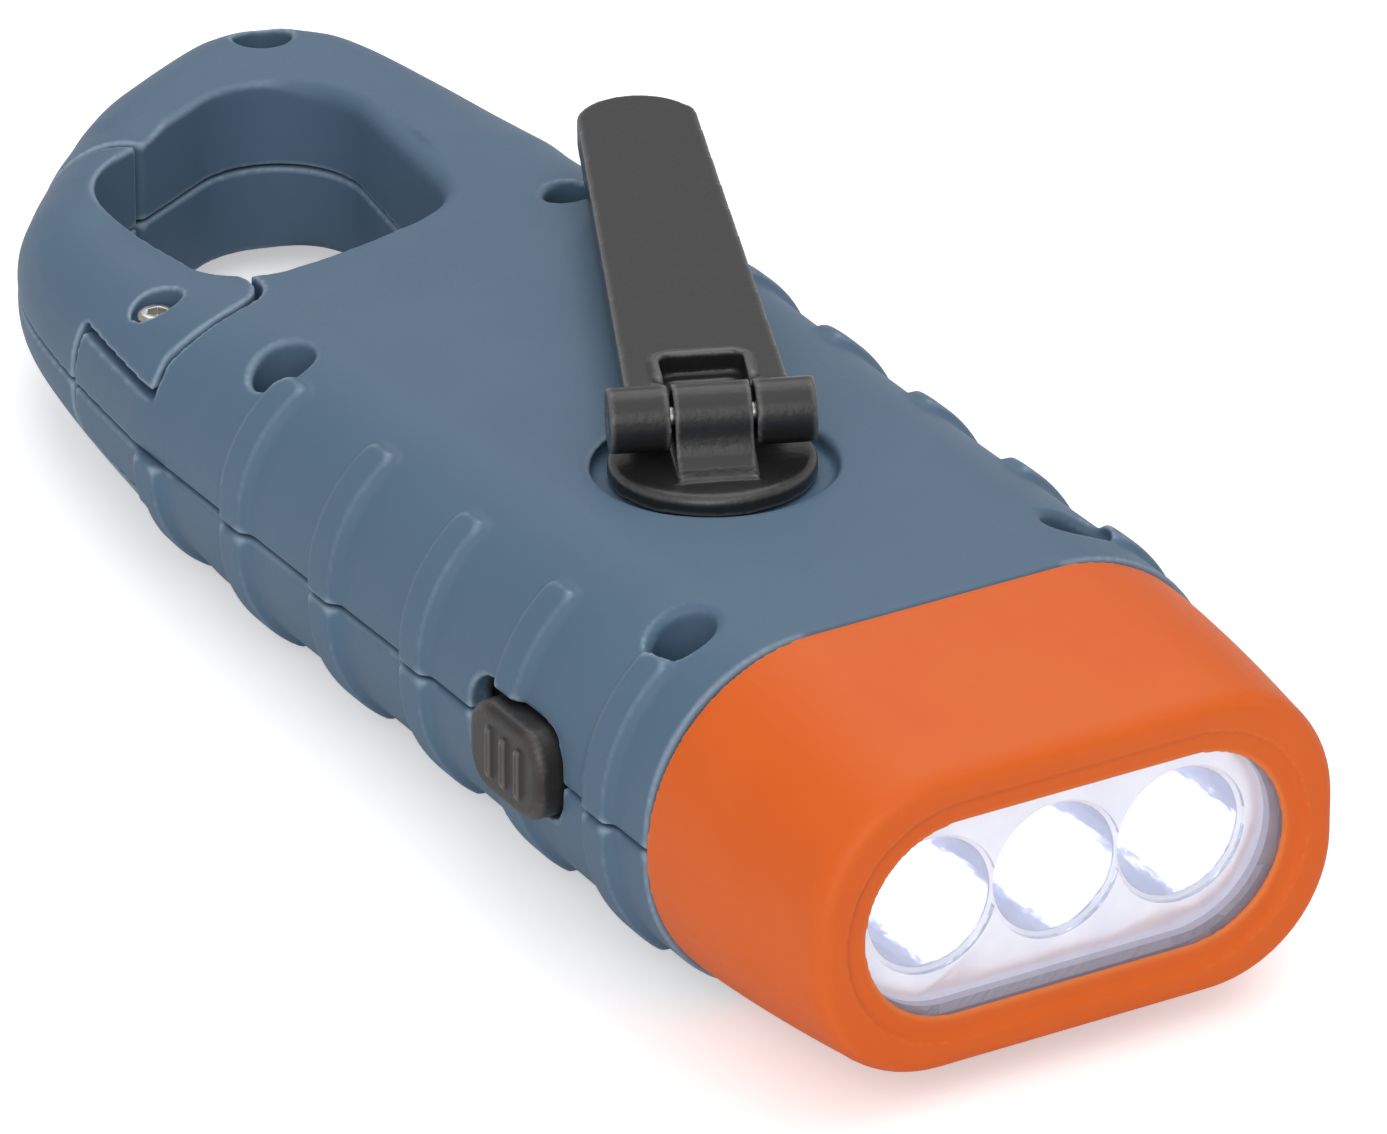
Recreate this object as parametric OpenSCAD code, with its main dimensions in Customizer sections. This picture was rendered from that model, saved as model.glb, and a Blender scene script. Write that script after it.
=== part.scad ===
// Hand crank flashlight with three lamps, a folding crank and a snap ring at its tail.
// It is drawn on its parting plane: +X points out of the lamp face, the seam lies at Z = 0,
// and the crank is on the +Z side. rested() then lays it on its flat underside.

/* [Housing] */
// Length from the lamp face to the tail of the ring
body_l = 150; // [138:1:162]
// Width over the sides of the housing
body_w = 50; // [48:0.5:54]
// Thickness where the lamp bezel meets the housing
body_t = 29; // [28:0.5:32]
// Wall of the moulded shells
wall = 2; // [1.6:0.1:2.2]
// Fall of the top face for each millimetre of length towards the tail
wedge_rate = 0.042; // [0.036:0.002:0.046]

/* [Grip ribs] */
// Distance from one grip rib to the next
rib_pitch = 13.6; // [12.8:0.1:14]
// Width of a rib at its foot
rib_w = 3.6; // [2.8:0.1:4.2]
// Height of a rib over the housing
rib_h = 0.75; // [0.4:0.05:1]
// Distance from the middle of the housing to the tips of the ribs
rib_reach = 18.4; // [17:0.1:20]
// Distance from the lamp face to the first rib
rib_start = 27.3; // [26:0.1:29]
// Ribs on each side of the upper half
rib_count = 5; // [3:1:5]

/* [Ring] */
// Thickness of the ring
ring_t = 15; // [14:0.5:17]
// Distance from the tail to where the housing starts to thin down to the ring
thin_start = 52; // [48:1:56]
// Distance from the tail to where the full thinness is reached
thin_end = 18; // [14:1:24]
// Radius of the dished facet round the eye of the ring, at its foot
dish_r = 16; // [14:0.5:18]
// Height of the dished facet over the seam, at its foot
dish_h = 8.4; // [8:0.1:9.4]
// Rise of the dished facet for each millimetre away from the eye
dish_rate = 0.19; // [0.12:0.01:0.24]

/* [Gate] */
// Distance from the tail to the gate's pivot
pivot_back = 46; // [44:0.5:48]
// Distance from the middle of the housing to the gate's pivot
pivot_side = 19.5; // [18.5:0.1:20]
// Radius of the gate's round nose about its pivot
nose_r = 7.6; // [7:0.1:8.2]
// Radius of the gate's free end about its pivot
gate_reach = 30.5; // [29:0.1:31.5]
// Play round the gate
gate_gap = 0.45; // [0.35:0.05:0.6]
// Thickness of the housing's tongue between the two halves of the gate
tongue_t = 8.6; // [7.6:0.1:9.4]
// Radius of the round end of the tongue
tongue_r = 5.3; // [5:0.1:5.6]
// Angle that the gate swings inwards
gate_swing = 22; // [14:1:24]
// Diameter of the pivot screw
pivot_d = 2.4; // [2:0.1:2.8]
// Diameter of the pivot screw's head
pivot_head_d = 3; // [2.6:0.1:3.4]
// Height of the pivot screw's head
pivot_head_t = 1.1; // [0.8:0.1:1.4]
// Wire diameter of the gate's spring
spring_wire = 0.8; // [0.6:0.05:1]

/* [Lamp head] */
// Length of the bezel from the lamp face to the housing
head_l = 20.6; // [19.6:0.1:22]
// Width of the lamp face
face_w = 45; // [43:0.5:47]
// Height of the lamp face
face_t = 24.8; // [24:0.1:26]
// Corner radius of the lamp face
face_r = 10.8; // [10:0.1:12]
// Width of the window
window_w = 35.8; // [35:0.1:37]
// Height of the window
window_t = 15.8; // [15:0.1:16.6]
// Depth of the window below the lamp face
window_depth = 1; // [0.6:0.1:1.6]
// Thickness of the window
lens_t = 1.4; // [1:0.1:2]
// Ledge that the window rests against
lens_ledge = 1.4; // [1:0.1:1.6]
// Thickness of the window's seal
seal_t = 0.8; // [0.6:0.1:1]
// Distance from lamp to lamp
lamp_pitch = 10.7; // [10.4:0.1:11]
// Diameter of a lamp's dome
lamp_d = 5; // [4:0.1:5.4]
// Mouth diameter of a reflector cup
cup_d = 10.4; // [9.6:0.1:10.4]
// Depth of the reflector
reflector_l = 11.6; // [10:0.1:12]
// Thickness of the circuit boards
board_t = 1.6; // [1:0.1:1.6]

/* [Crank] */
// Distance from the lamp face to the crank's axis
hub_back = 50; // [49:0.1:51]
// Offset of the crank's axis from the middle
hub_side = 1.2; // [0:0.1:1.6]
// Diameter of the crank's disc
disc_d = 15.9; // [15:0.1:17]
// Thickness of the crank's disc
disc_t = 2; // [1.8:0.1:2.2]
// Height of the disc's face over the housing
disc_rise = 0.9; // [0.7:0.1:1.1]
// Play round and under the disc
disc_gap = 1.35; // [1.2:0.05:1.6]
// Diameter of the crank's shaft
shaft_d = 5; // [4:0.1:5.4]
// Diameter of the hinge knuckles
knuckle_d = 5; // [4.6:0.1:5.4]
// Width of the middle knuckle
knuckle_w = 5.9; // [5:0.1:6.4]
// Length of the hinge over its three knuckles
hinge_l = 15.7; // [15:0.1:16.4]
// Play beside and under the knuckles
knuckle_gap = 0.3; // [0.25:0.05:0.4]
// Diameter of the hinge pin
pin_d = 1.6; // [1.2:0.1:2]
// Length of the arm from its hinge to its tip
arm_l = 58; // [54:0.5:60]
// Width of the arm at its hinge
arm_w = 12.6; // [12:0.1:13.4]
// Width of the arm at its tip
arm_tip_w = 9.6; // [9:0.1:10.6]
// Thickness of the arm
arm_t = 2.6; // [2.2:0.1:3]
// Length of the notch in the arm behind the middle knuckle
notch_l = 6; // [5.4:0.1:6.6]
// Angle of the folded arm from the lamp's direction
crank_angle = 155.5; // [150:0.5:160]

/* [Gear train] */
// Size of the gear teeth: pitch diameter over count
tooth_module = 0.5; // [0.49:0.01:0.51]
// Teeth of the crank's gear
drive_teeth = 60; // [60:1:60]
// Teeth of each small gear on the idlers
pinion_teeth = 12; // [12:1:12]
// Teeth of the first idler's wheel
wheel_1_teeth = 44; // [44:1:44]
// Teeth of the second idler's wheel
wheel_2_teeth = 40; // [40:1:40]
// Teeth of the generator's pinion
rotor_teeth = 10; // [10:1:10]
// Face width of the gears
gear_t = 2; // [1.6:0.1:2.1]
// Height from one gear stage to the next
stage_step = 2.8; // [2.7:0.05:2.9]
// Diameter of the idlers' axles
axle_d = 1.6; // [1.4:0.1:1.8]
// Thickness of the two gear plates
plate_t = 1; // [0.8:0.1:1.1]
// Diameter of the pillars between the gear plates
pillar_d = 4; // [3.6:0.1:4.2]
// Radial play between a turning part and its bearing
running_play = 0.06; // [0.04:0.01:0.08]

/* [Generator] */
// Diameter of the generator's can
can_d = 16.8; // [15:0.1:16.8]
// Height of the generator's can
can_t = 5.4; // [4.8:0.1:5.4]
// Wall of the generator's can
can_wall = 0.6; // [0.4:0.1:0.8]
// Diameter of the generator's shaft
rotor_shaft_d = 1.5; // [1.2:0.1:1.6]
// Diameter of the magnet
magnet_d = 8; // [7:0.1:9]

/* [Switch] */
// Distance from the lamp face to the front end of the button
button_back = 33.1; // [32.8:0.1:34]
// Length of the button
button_l = 10.5; // [10:0.1:11]
// Height of the button
button_t = 7.4; // [7:0.1:7.8]
// How far the button stands out of the housing
button_out = 1.9; // [1.4:0.1:2.2]
// Travel of the button from on to off
button_travel = 2.6; // [2:0.1:2.8]
// Play round the button
button_gap = 0.3; // [0.25:0.05:0.4]

/* [Electrics] */
// Diameter of one cell
cell_d = 15.5; // [14:0.1:16]
// Height of one cell
cell_t = 6; // [5:0.1:6.2]
// Cells in the battery
cell_count = 3; // [2:1:3]

/* [Fasteners] */
// Diameter of the deep screw wells
well_d = 4.8; // [4.4:0.1:5]
// Height of the wells' floor over the seam
well_floor = 3.2; // [2.8:0.1:3.6]
// Outer diameter of the screw bosses
boss_d = 7.2; // [6.8:0.1:7.4]
// Diameter of the housing screws
screw_d = 2.2; // [2:0.1:2.4]
// Diameter of the screw heads
screw_head_d = 4.2; // [3.8:0.1:4.2]
// Height of the screw heads
screw_head_t = 1.4; // [1:0.1:1.6]
// Depth that a housing screw reaches below the seam
screw_reach = 5; // [4:0.1:5.4]

/* [Hidden] */
$fn = 64;

housing_blue = "#62788e";
lamp_orange = "#dc6430";
soft_black = "#3a3a3a";

// Overrun of every cut past the face that it opens
over = 1;
half_w = body_w / 2;
joint_x = -head_l;
wedge_a = atan(wedge_rate);
joint_h = body_t / 2;

// Half width along the straight sides: share of the length, share of the half width
side_shares = [[0.137, 0.988], [0.36, 0.988], [0.53, 1], [0.65, 1.004]];
// Outline round the ring, left and right together: shares of the length and of the half width
tail_shares = [
  [0.655, -1.003, 0.655, 1.004], [0.731, -0.96, 0.731, 0.988], [0.801, -0.888, 0.807, 0.968],
  [0.845, -0.788, 0.86, 0.948], [0.873, -0.664, 0.903, 0.912], [0.894, -0.552, 0.936, 0.872],
  [0.916, -0.432, 0.959, 0.82], [0.952, -0.192, 0.976, 0.736], [0.971, -0.008, 0.988, 0.656],
  [0.988, 0.184, 0.996, 0.544], [0.995, 0.28, 0.9985, 0.48]];
// Roundness of the long edges: share of the length, share of the half thickness
corner_shares = [[0.137, 1], [0.36, 0.94], [0.59, 0.885], [1, 0.85]];
// Circles that bound the eye of the ring: shares of the length, half width and width
eye_shares = [[0.86, 0.2, 0.146], [0.753, 0.1, 0.15], [0.723, -0.36, 0.1], [0.813, -0.2, 0.18]];
// Places of the five screw wells: shares of the length and half width
well_shares = [[0.57, -0.74], [0.671, 0.64], [0.189, -0.672], [0.189, 0.672], [0.96, 0.484]];
// Places of the dish's centre: shares of the length and half width
dish_shares = [0.8, -0.2];

function mix(a, b, f) = a + (b - a) * f;
function clamp01(v) = min(1, max(0, v));
function ease(v) = let (c = clamp01(v)) c * c * (3 - 2 * c);
function side_y(x) = half_w * lookup(-x / body_l, side_shares);
function plane_h(x) = joint_h + wedge_rate * (x - joint_x);

// Height of the outside over the seam at a place in plan
thin_x = thin_start - body_l;
function body_h(x) = x > thin_x ? plane_h(x)
  : mix(plane_h(thin_x), ring_t / 2, ease((thin_x - x) / (thin_start - thin_end)));
function dish_top(x, y) =
  dish_h + dish_rate * (norm([x + body_l * dish_shares[0], y - half_w * dish_shares[1]]) - dish_r);
function top_h(x, y) = x > -body_l * 0.8 ? min(body_h(x), dish_top(x, y)) : body_h(x);
function corner_r(x) = body_h(x) * lookup(-x / body_l, corner_shares);

// A station is [left point, left outward normal, right point, right outward normal, rib height]
function side_station(x, rib) = [[x, -side_y(x)], [0, -1], [x, side_y(x)], [0, 1], rib];
function row_at(i) = let (r = tail_shares[max(0, min(len(tail_shares) - 1, i))])
  [-r[0] * body_l, r[1] * half_w, -r[2] * body_l, r[3] * half_w];
function curve_at(u) = let (i = min(floor(u), len(tail_shares) - 2), f = u - i,
    a = row_at(i - 1), b = row_at(i), c = row_at(i + 1), d = row_at(i + 2))
  0.5 * (2 * b + (c - a) * f + (2 * a - 5 * b + 4 * c - d) * f * f
    + (3 * b - a - 3 * c + d) * f * f * f);
function unit(v) = v / norm(v);
function tail_station(u) = let (e = 0.05, p = curve_at(u),
    t = curve_at(min(u + e, len(tail_shares) - 1)) - curve_at(max(u - e, 0)),
    tl = unit([t[0], t[1]]), tr = unit([t[2], t[3]]))
  [[p[0], p[1]], [-tl[1], tl[0]], [p[2], p[3]], [tr[1], -tr[0]], 0];

// Stations along the straight part, with four at each rib, then round the tail
rib_top_w = rib_w - 2 * rib_h;
function rib_x(i) = -rib_start - rib_pitch * i;
function rib_stations(i) = [
  side_station(rib_x(i) + rib_w / 2, 0), side_station(rib_x(i) + rib_top_w / 2, rib_h),
  side_station(rib_x(i) - rib_top_w / 2, rib_h), side_station(rib_x(i) - rib_w / 2, 0)];
straight_end = -tail_shares[0][0] * body_l;
function between(a, b, steps) = [for (i = [1:steps - 1]) side_station(mix(a, b, i / steps), 0)];
function straight_stations(ribs) = concat([side_station(joint_x, 0)],
  [for (i = [0:ribs - 1]) each rib_stations(i)],
  between(rib_x(ribs - 1) - rib_w / 2, straight_end, max(2, 2 + 2 * (rib_count + 1 - ribs))));
tail_step = 0.5;
tail_stations = [for (u = [0:tail_step:len(tail_shares) - 1]) tail_station(u)];

// One rounded edge from its side up to the top face, inset by d
corner_steps = 7;
function edge_points(p, n, rib, d) = let (
    r0 = corner_r(p[0]), crown = p - n * r0, h0 = top_h(crown[0], crown[1]),
    r = min(r0, h0 - over) - d, h = h0 - d, q = p - n * d)
  [for (j = [0:corner_steps]) let (a = 90 * j / corner_steps, y = abs(q[1]) - r * (1 - cos(a)),
      e = rib * clamp01((y - rib_reach) / rib_h), s = q + n * (e * cos(a) - r * (1 - cos(a))))
    [s[0], s[1], h - r + (r + e) * sin(a)]];
top_steps = 6;
function section(s, d, base) = let (
    left = edge_points(s[0], s[1], s[4], d), right = edge_points(s[2], s[3], s[4], d),
    a = left[corner_steps], b = right[corner_steps],
    lo = [left[0][0], left[0][1], base], ro = [right[0][0], right[0][1], base])
  concat([lo], left,
    [for (i = [1:top_steps - 1]) let (p = mix(a, b, i / top_steps)) [p[0], p[1], top_h(p[0], p[1]) - d]],
    [for (j = [corner_steps:-1:0]) right[j]], [ro]);

// Triangles that close a loop of n points: strips across its first rows, then a fan
function closing(n, rows) = concat(
  [for (k = [0:1:rows - 1]) each [[k, k + 1, n - 1 - k], [k + 1, n - 2 - k, n - 1 - k]]],
  [for (k = [rows + 1:n - 2 - rows]) [rows, k, k + 1]]);
// Skin over closed loops of equal length, closed at both ends
module loft(loops, rows = 0) {
  n = len(loops[0]);
  last = len(loops) - 1;
  polyhedron(
    points = [for (l = loops) each l],
    faces = concat(
      closing(n, 0),
      [for (i = [0:last - 1]) for (k = [0:n - 1]) each [
        [i * n + (k + 1) % n, i * n + k, (i + 1) * n + k],
        [(i + 1) * n + (k + 1) % n, i * n + (k + 1) % n, (i + 1) * n + k]]],
      [for (t = closing(n, rows)) [for (k = [2:-1:0]) last * n + t[k]]]));
}

// Upper half of the housing's outside; ribs sets how many grip ribs each side has
module half_body(ribs) {
  loft([for (s = concat(straight_stations(ribs), tail_stations)) section(s, 0, 0)], corner_steps);
}
// The same outside round the ring alone
module half_tail() {
  loft([for (s = concat([side_station(-body_l + thin_start + rib_pitch / 2, 0)], tail_stations))
    section(s, 0, 0)], corner_steps);
}
// Hollow of one half, from the joint to the foot of the ring
hollow_end = -body_l + thin_start - wall;
module half_hollow() {
  steps = 7;
  loft([for (i = [0:steps]) section(side_station(mix(joint_x + over, hollow_end, i / steps), 0), wall, -over)]);
}

// The whole part laid on its flat underside, over the middle of that face
rest_mid_x = -body_l * 0.4;
rest_lift = plane_h(rest_mid_x) * cos(wedge_a) - rest_mid_x * sin(wedge_a);
rest_shift = rest_mid_x * cos(wedge_a) + plane_h(rest_mid_x) * sin(wedge_a);
module rested() {
  translate([-rest_shift, 0, rest_lift]) rotate([0, -wedge_a, 0]) children();
}
// Frame of the crank: origin on the seam below the crank, Z square to the top face
module on_crank() {
  translate([-hub_back, -hub_side, 0]) rotate([0, -wedge_a, 0]) children();
}
// Frame that stands on the inner floor of the lower shell
module on_floor(x, y) {
  translate([x, y, -plane_h(x)]) rotate([0, wedge_a, 0]) translate([0, 0, wall]) children();
}
// Turns a shape drawn in X and Y so that it faces out of the lamp, with its own X across
module facing(x) {
  translate([x, 0, 0]) rotate([90, 0, 90]) children();
}

// Plan shapes of the ring
pivot = [pivot_back - body_l, -pivot_side];
function arc(c, r, a0, a1, n) =
  [for (i = [0:n]) let (a = mix(a0, a1, i / n)) c + r * [cos(a), sin(a)]];
module eye_plan() {
  hull() {
    for (s = eye_shares) translate([-s[0] * body_l, s[1] * half_w]) circle(r = s[2] * body_w, $fn = 40);
  }
}
nose_start = 110;
nose_end = -22;
hook_start = 196;
hook_end = 146;
module gate_plan(grow) {
  r = nose_r + grow;
  flank = pivot + r * [cos(nose_end), sin(nose_end)];
  polygon(concat(
    arc(pivot, r, nose_start, nose_end, 22),
    [flank + [tongue_r / 2, -2 * tongue_r], flank - [gate_reach / 2, gate_reach / 2]],
    arc(pivot, gate_reach + grow, hook_start, hook_end, 20),
    [[eye_x, 0], pivot + [-nose_r, 2 * nose_r]]));
}
eye_x = -eye_shares[3][0] * body_l;
module tongue_plan(grow, opened) {
  r = tongue_r + grow;
  polygon(concat(
    [pivot + [-r, -2 * nose_r]],
    arc(pivot, r, 180, 90 + opened, 12),
    [pivot + 2 * nose_r * [cos(90 + opened), sin(90 + opened)],
      pivot + [2 * nose_r, 2 * nose_r], pivot + [2 * nose_r, -2 * nose_r]]));
}
module eye_cut() {
  translate([0, 0, -over]) linear_extrude(body_t) eye_plan();
}

// Screw wells, bosses and pilots
function well_at(i) = [-well_shares[i][0] * body_l, well_shares[i][1] * half_w];
module at_wells() {
  for (i = [0:len(well_shares) - 1]) translate(well_at(i)) children();
}
fit_play = 0.05;

// Posts inside the lower shell that carry the gear plates and the main board
crank_top = plane_h(-hub_back) * cos(wedge_a);
pitch_r_drive = drive_teeth * tooth_module / 2;
pitch_r_pinion = pinion_teeth * tooth_module / 2;
pitch_r_wheel_1 = wheel_1_teeth * tooth_module / 2;
pitch_r_wheel_2 = wheel_2_teeth * tooth_module / 2;
pitch_r_rotor = rotor_teeth * tooth_module / 2;
idler_1_a = 210;
idler_2_a = 160;
rotor_a = 125;
idler_1_at = (pitch_r_drive + pitch_r_pinion) * [cos(idler_1_a), sin(idler_1_a)];
idler_2_at = idler_1_at + (pitch_r_wheel_1 + pitch_r_pinion) * [cos(idler_2_a), sin(idler_2_a)];
rotor_at = idler_2_at + (pitch_r_wheel_2 + pitch_r_rotor) * [cos(rotor_a), sin(rotor_a)];

// Heights in the crank's frame
drive_z = crank_top - disc_gap - wall - stage_step * 1.5;
wheel_1_z = drive_z - stage_step - gear_t / 8;
wheel_2_z = wheel_1_z - stage_step;
base_plate_z = wheel_2_z - plate_t - gear_t / 2;
top_plate_z = drive_z + gear_t + plate_t / 2;
can_z = top_plate_z - can_t;
pillar_places = [idler_1_at + [-pitch_r_pinion / 2, pitch_r_drive + pitch_r_wheel_1 / 1.6],
  rotor_at + [-pitch_r_pinion * 2, -pitch_r_wheel_1 - tooth_module],
  rotor_at + [-can_d / 2, can_d / 2 - tooth_module]];
module plate_plan() {
  hull() {
    for (p = concat(pillar_places, [idler_1_at, rotor_at])) translate(p) circle(d = pillar_d * 1.5, $fn = 32);
  }
}

// Main board
board_z = -board_t - over;
spigot_l = 3.8;
board_x = joint_x - spigot_l - knuckle_gap;
board_l = button_back + button_l + button_travel - head_l - spigot_l + over;
board_neck_w = 2 * (well_at(3)[1] - boss_d / 2) - over;
board_wide_w = body_w - 4 * wall - 2 * over;
board_post_x = board_x - board_l + boss_d / 3;
button_mid_x = -button_back - button_l / 2;

module post_to_plate(p, r) {
  // from inside the floor's thickness up to the base plate
  foot = -crank_top - 2 * wedge_rate * p[0] + wall / 2;
  translate([p[0], p[1], foot]) cylinder(r = r, h = base_plate_z - foot);
}
module floor_posts() {
  on_crank() {
    for (p = concat(pillar_places, [idler_1_at])) post_to_plate(p, pillar_d / 2);
  }
  for (y = [-1, 1]) translate([board_post_x, y * board_wide_w / 4, -plane_h(board_post_x) + wall / 2])
    cylinder(r = pillar_d / 2, h = plane_h(board_post_x) - wall / 2 + board_z);
}

// Side opening that the switch button slides in
button_r = button_t * 0.38;
module button_plan(x0, x1, grow) {
  z = button_t / 2 + grow;
  r = button_r + grow;
  polygon(concat(
    arc([x0 - r, z - r], r, 0, 90, 6), arc([x1 + r, z - r], r, 90, 180, 6),
    arc([x1 + r, r - z], r, 180, 270, 6), arc([x0 - r, r - z], r, 270, 360, 6)));
}
module button_cut() {
  translate([0, -half_w - over, 0]) rotate([-90, 0, 0]) linear_extrude(3 * wall)
    button_plan(-button_back + button_gap, -button_back - button_l - button_travel - button_gap, button_gap);
}

recess_d = disc_d + 2 * disc_gap;
bush_d = shaft_d + 2 * running_play + wall;
bush_seat_d = bush_d + 2 * wall;
bush_bottom = drive_z + gear_t + plate_t * 0.9;
recess_floor = crank_top + disc_rise - disc_t - knuckle_gap;

module top_shell() {
  color(housing_blue) rested() difference() {
    half_body(rib_count);
    difference() {
      half_hollow();
      at_wells() translate([0, 0, -2 * over]) cylinder(d = boss_d, h = body_t);
      on_crank() translate([0, 0, bush_bottom]) cylinder(d = bush_seat_d, h = body_t);
      on_crank() translate([0, 0, recess_floor - wall * 0.7]) cylinder(d = recess_d + wall, h = body_t);
    }
    at_wells() translate([0, 0, well_floor]) cylinder(d = well_d, h = body_t);
    at_wells() translate([0, 0, -over]) cylinder(d = screw_d + 2 * fit_play, h = body_t);
    on_crank() translate([0, 0, recess_floor]) cylinder(d = recess_d, h = body_t);
    on_crank() translate([0, 0, 0]) cylinder(d = bush_d, h = body_t);
    eye_cut();
    difference() {
      translate([0, 0, -over]) linear_extrude(body_t) gate_plan(gate_gap);
      translate([0, 0, -2 * over]) linear_extrude(tongue_t / 2 + 2 * over) tongue_plan(0, 0);
    }
    translate([pivot[0], pivot[1], -over]) cylinder(d = pivot_d + 2 * running_play, h = body_t);
    translate([pivot[0], pivot[1], -over]) cylinder(r = spring_r + 2 * fit_play, h = spring_l / 2 + over + fit_play);
    button_cut();
  }
}
spring_r = pivot_d / 2 + 2 * running_play + 2 * spring_wire;
spring_l = tongue_t * 0.4;

module bottom_shell() {
  color(housing_blue) rested() difference() {
    union() {
      mirror([0, 0, 1]) difference() {
        half_body(rib_count + 1);
        difference() {
          half_hollow();
          at_wells() translate([0, 0, -2 * over]) cylinder(d = boss_d, h = body_t);
          mirror([0, 0, 1]) floor_posts();
        }
        eye_cut();
        difference() {
          translate([0, 0, -over]) linear_extrude(body_t) gate_plan(gate_gap);
          translate([0, 0, -2 * over]) linear_extrude(tongue_t / 2 + 2 * over) tongue_plan(0, 0);
        }
        translate([pivot[0], pivot[1], -over]) cylinder(d = pivot_d + 2 * running_play, h = body_t);
        translate([pivot[0], pivot[1], -over])
          cylinder(r = spring_r + 2 * fit_play, h = spring_l / 2 + over + fit_play);
      }
    }
    at_wells() translate([0, 0, -screw_reach - fit_play]) cylinder(d = screw_d + 2 * fit_play, h = body_t);
    button_cut();
  }
}

// Closed loop of a rounded rectangle that faces along X
function face_loop(x, w, h, r, n) = [for (q = [0:3]) for (i = [0:n])
  let (a = 90 * (q + i / n), c = [(q == 0 || q == 3) ? w - r : r - w, q < 2 ? h - r : r - h])
  [x, c[0] + r * cos(a), c[1] + r * sin(a)]];
face_steps = 8;
module stadium(w, h) {
  square([w - h, h], center = true);
  for (s = [-1, 1]) translate([s * (w - h) / 2, 0]) circle(d = h);
}
lens_w = window_w + 2 * lens_ledge;
lens_h = window_t + 2 * lens_ledge;
lens_x = -window_depth - lens_t;
seal_x = lens_x - seal_t;
reflector_x = seal_x - reflector_l;
led_board_x = reflector_x - board_t;
spigot_wall = 1.2;
bezel_edge = 1.2;

module bezel() {
  w0 = side_y(joint_x);
  color(lamp_orange) rested() difference() {
    union() {
      loft([for (s = [[-head_l, w0, joint_h, joint_h], [-head_l / 2, mix(w0, face_w / 2, 0.45),
            mix(joint_h, face_t / 2, 0.45), mix(joint_h, face_r, 0.5)],
          [-2 * bezel_edge, face_w / 2, face_t / 2, face_r],
          [-bezel_edge, face_w / 2 - bezel_edge * 0.13, face_t / 2 - bezel_edge * 0.13, face_r],
          [-bezel_edge * 0.4, face_w / 2 - bezel_edge * 0.45, face_t / 2 - bezel_edge * 0.45, face_r - bezel_edge * 0.3],
          [0, face_w / 2 - bezel_edge, face_t / 2 - bezel_edge, face_r - bezel_edge]])
        face_loop(s[0], s[1], s[2], s[3], face_steps)]);
      loft([for (x = [-head_l - spigot_l, -head_l + over]) face_loop(x, w0 - wall - fit_play,
        plane_h(x) - wall - fit_play, plane_h(x) - wall - fit_play, face_steps)]);
    }
    facing(lens_x) linear_extrude(-lens_x + over) stadium(window_w, window_t);
    facing(-head_l) linear_extrude(head_l - window_depth) stadium(lens_w + 2 * fit_play, lens_h + 2 * fit_play);
    loft([for (x = [-head_l - spigot_l - over, led_board_x - over]) face_loop(x, w0 - wall - spigot_wall,
      plane_h(-head_l - spigot_l) - wall - spigot_wall, plane_h(-head_l - spigot_l) - wall - spigot_wall, face_steps)]);
  }
}
module lens() {
  color("#eef4fa", 0.35) rested() facing(lens_x) linear_extrude(lens_t) stadium(lens_w, lens_h);
}
module lens_seal() {
  color("#222222") rested() facing(seal_x) linear_extrude(seal_t) difference() {
    stadium(lens_w, lens_h);
    stadium(window_w, window_t);
  }
}
module at_lamps() {
  for (i = [-1, 0, 1]) translate([0, i * lamp_pitch, 0]) children();
}
module reflector() {
  cup = cup_d / 2;
  neck = lamp_d / 2 + knuckle_gap;
  color("#d9dde2") rested() difference() {
    facing(reflector_x) linear_extrude(reflector_l) stadium(lens_w, lens_h);
    at_lamps() translate([reflector_x, 0, 0]) rotate([0, 90, 0]) rotate_extrude()
      polygon(concat([[0, -over], [neck, -over], [neck, lamp_base_t]],
        [for (i = [0:6]) let (f = i / 6) [mix(neck, cup, sqrt(f)), mix(lamp_base_t, reflector_l, f)]],
        [[cup, reflector_l + over], [0, reflector_l + over]]));
  }
}
lamp_base_t = 2.4;
lamp_l = 7.6;
module leds() {
  color("#fdfdff") rested() at_lamps() translate([reflector_x, 0, 0]) rotate([0, 90, 0]) rotate_extrude()
    polygon(concat([[0, 0], [lamp_d / 2, 0]],
      arc([0, lamp_l - lamp_d / 2], lamp_d / 2, 0, 90, 8)));
}
module led_board() {
  color("#3f6b4d") rested() facing(led_board_x) linear_extrude(board_t) stadium(lens_w, lens_h);
}
module lamp_pins() {
  pin = board_t / 2;
  color("#c8a24a") rested() for (y = [-1, 1]) translate([led_board_x, y * lamp_pitch, board_z + board_t / 2])
    rotate([0, -90, 0]) cylinder(d = pin, h = led_board_x - board_x);
}
module main_board() {
  wide_l = board_l + well_at(3)[0] - board_x - boss_d / 2 - over / 2;
  color("#3f6b4d") rested() translate([board_x - board_l, 0, board_z]) {
    translate([0, -board_neck_w / 2, 0]) cube([board_l, board_neck_w, board_t]);
    translate([0, -board_wide_w / 2, 0]) cube([wide_l, board_wide_w, board_t]);
  }
}
switch_depth = 5;
switch_body_t = 4;
stem_w = 2;
stem_t = 2;
switch_front_y = -board_wide_w / 2 + knuckle_gap;
module slide_switch() {
  l = button_l + over;
  color("#b9bcc0") rested() translate([button_mid_x, switch_front_y + switch_depth / 2, board_z + board_t])
    difference() {
      translate([-l / 2, -switch_depth / 2, 0]) cube([l, switch_depth, switch_body_t]);
      translate([-stem_w / 2 - button_travel - knuckle_gap, -switch_depth / 2 - over, stem_lift - knuckle_gap])
        cube([stem_w + button_travel + 2 * knuckle_gap, over + switch_depth / 2, stem_t + 2 * knuckle_gap]);
    }
}
stem_lift = 1;
flange_t = 0.8;
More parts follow.
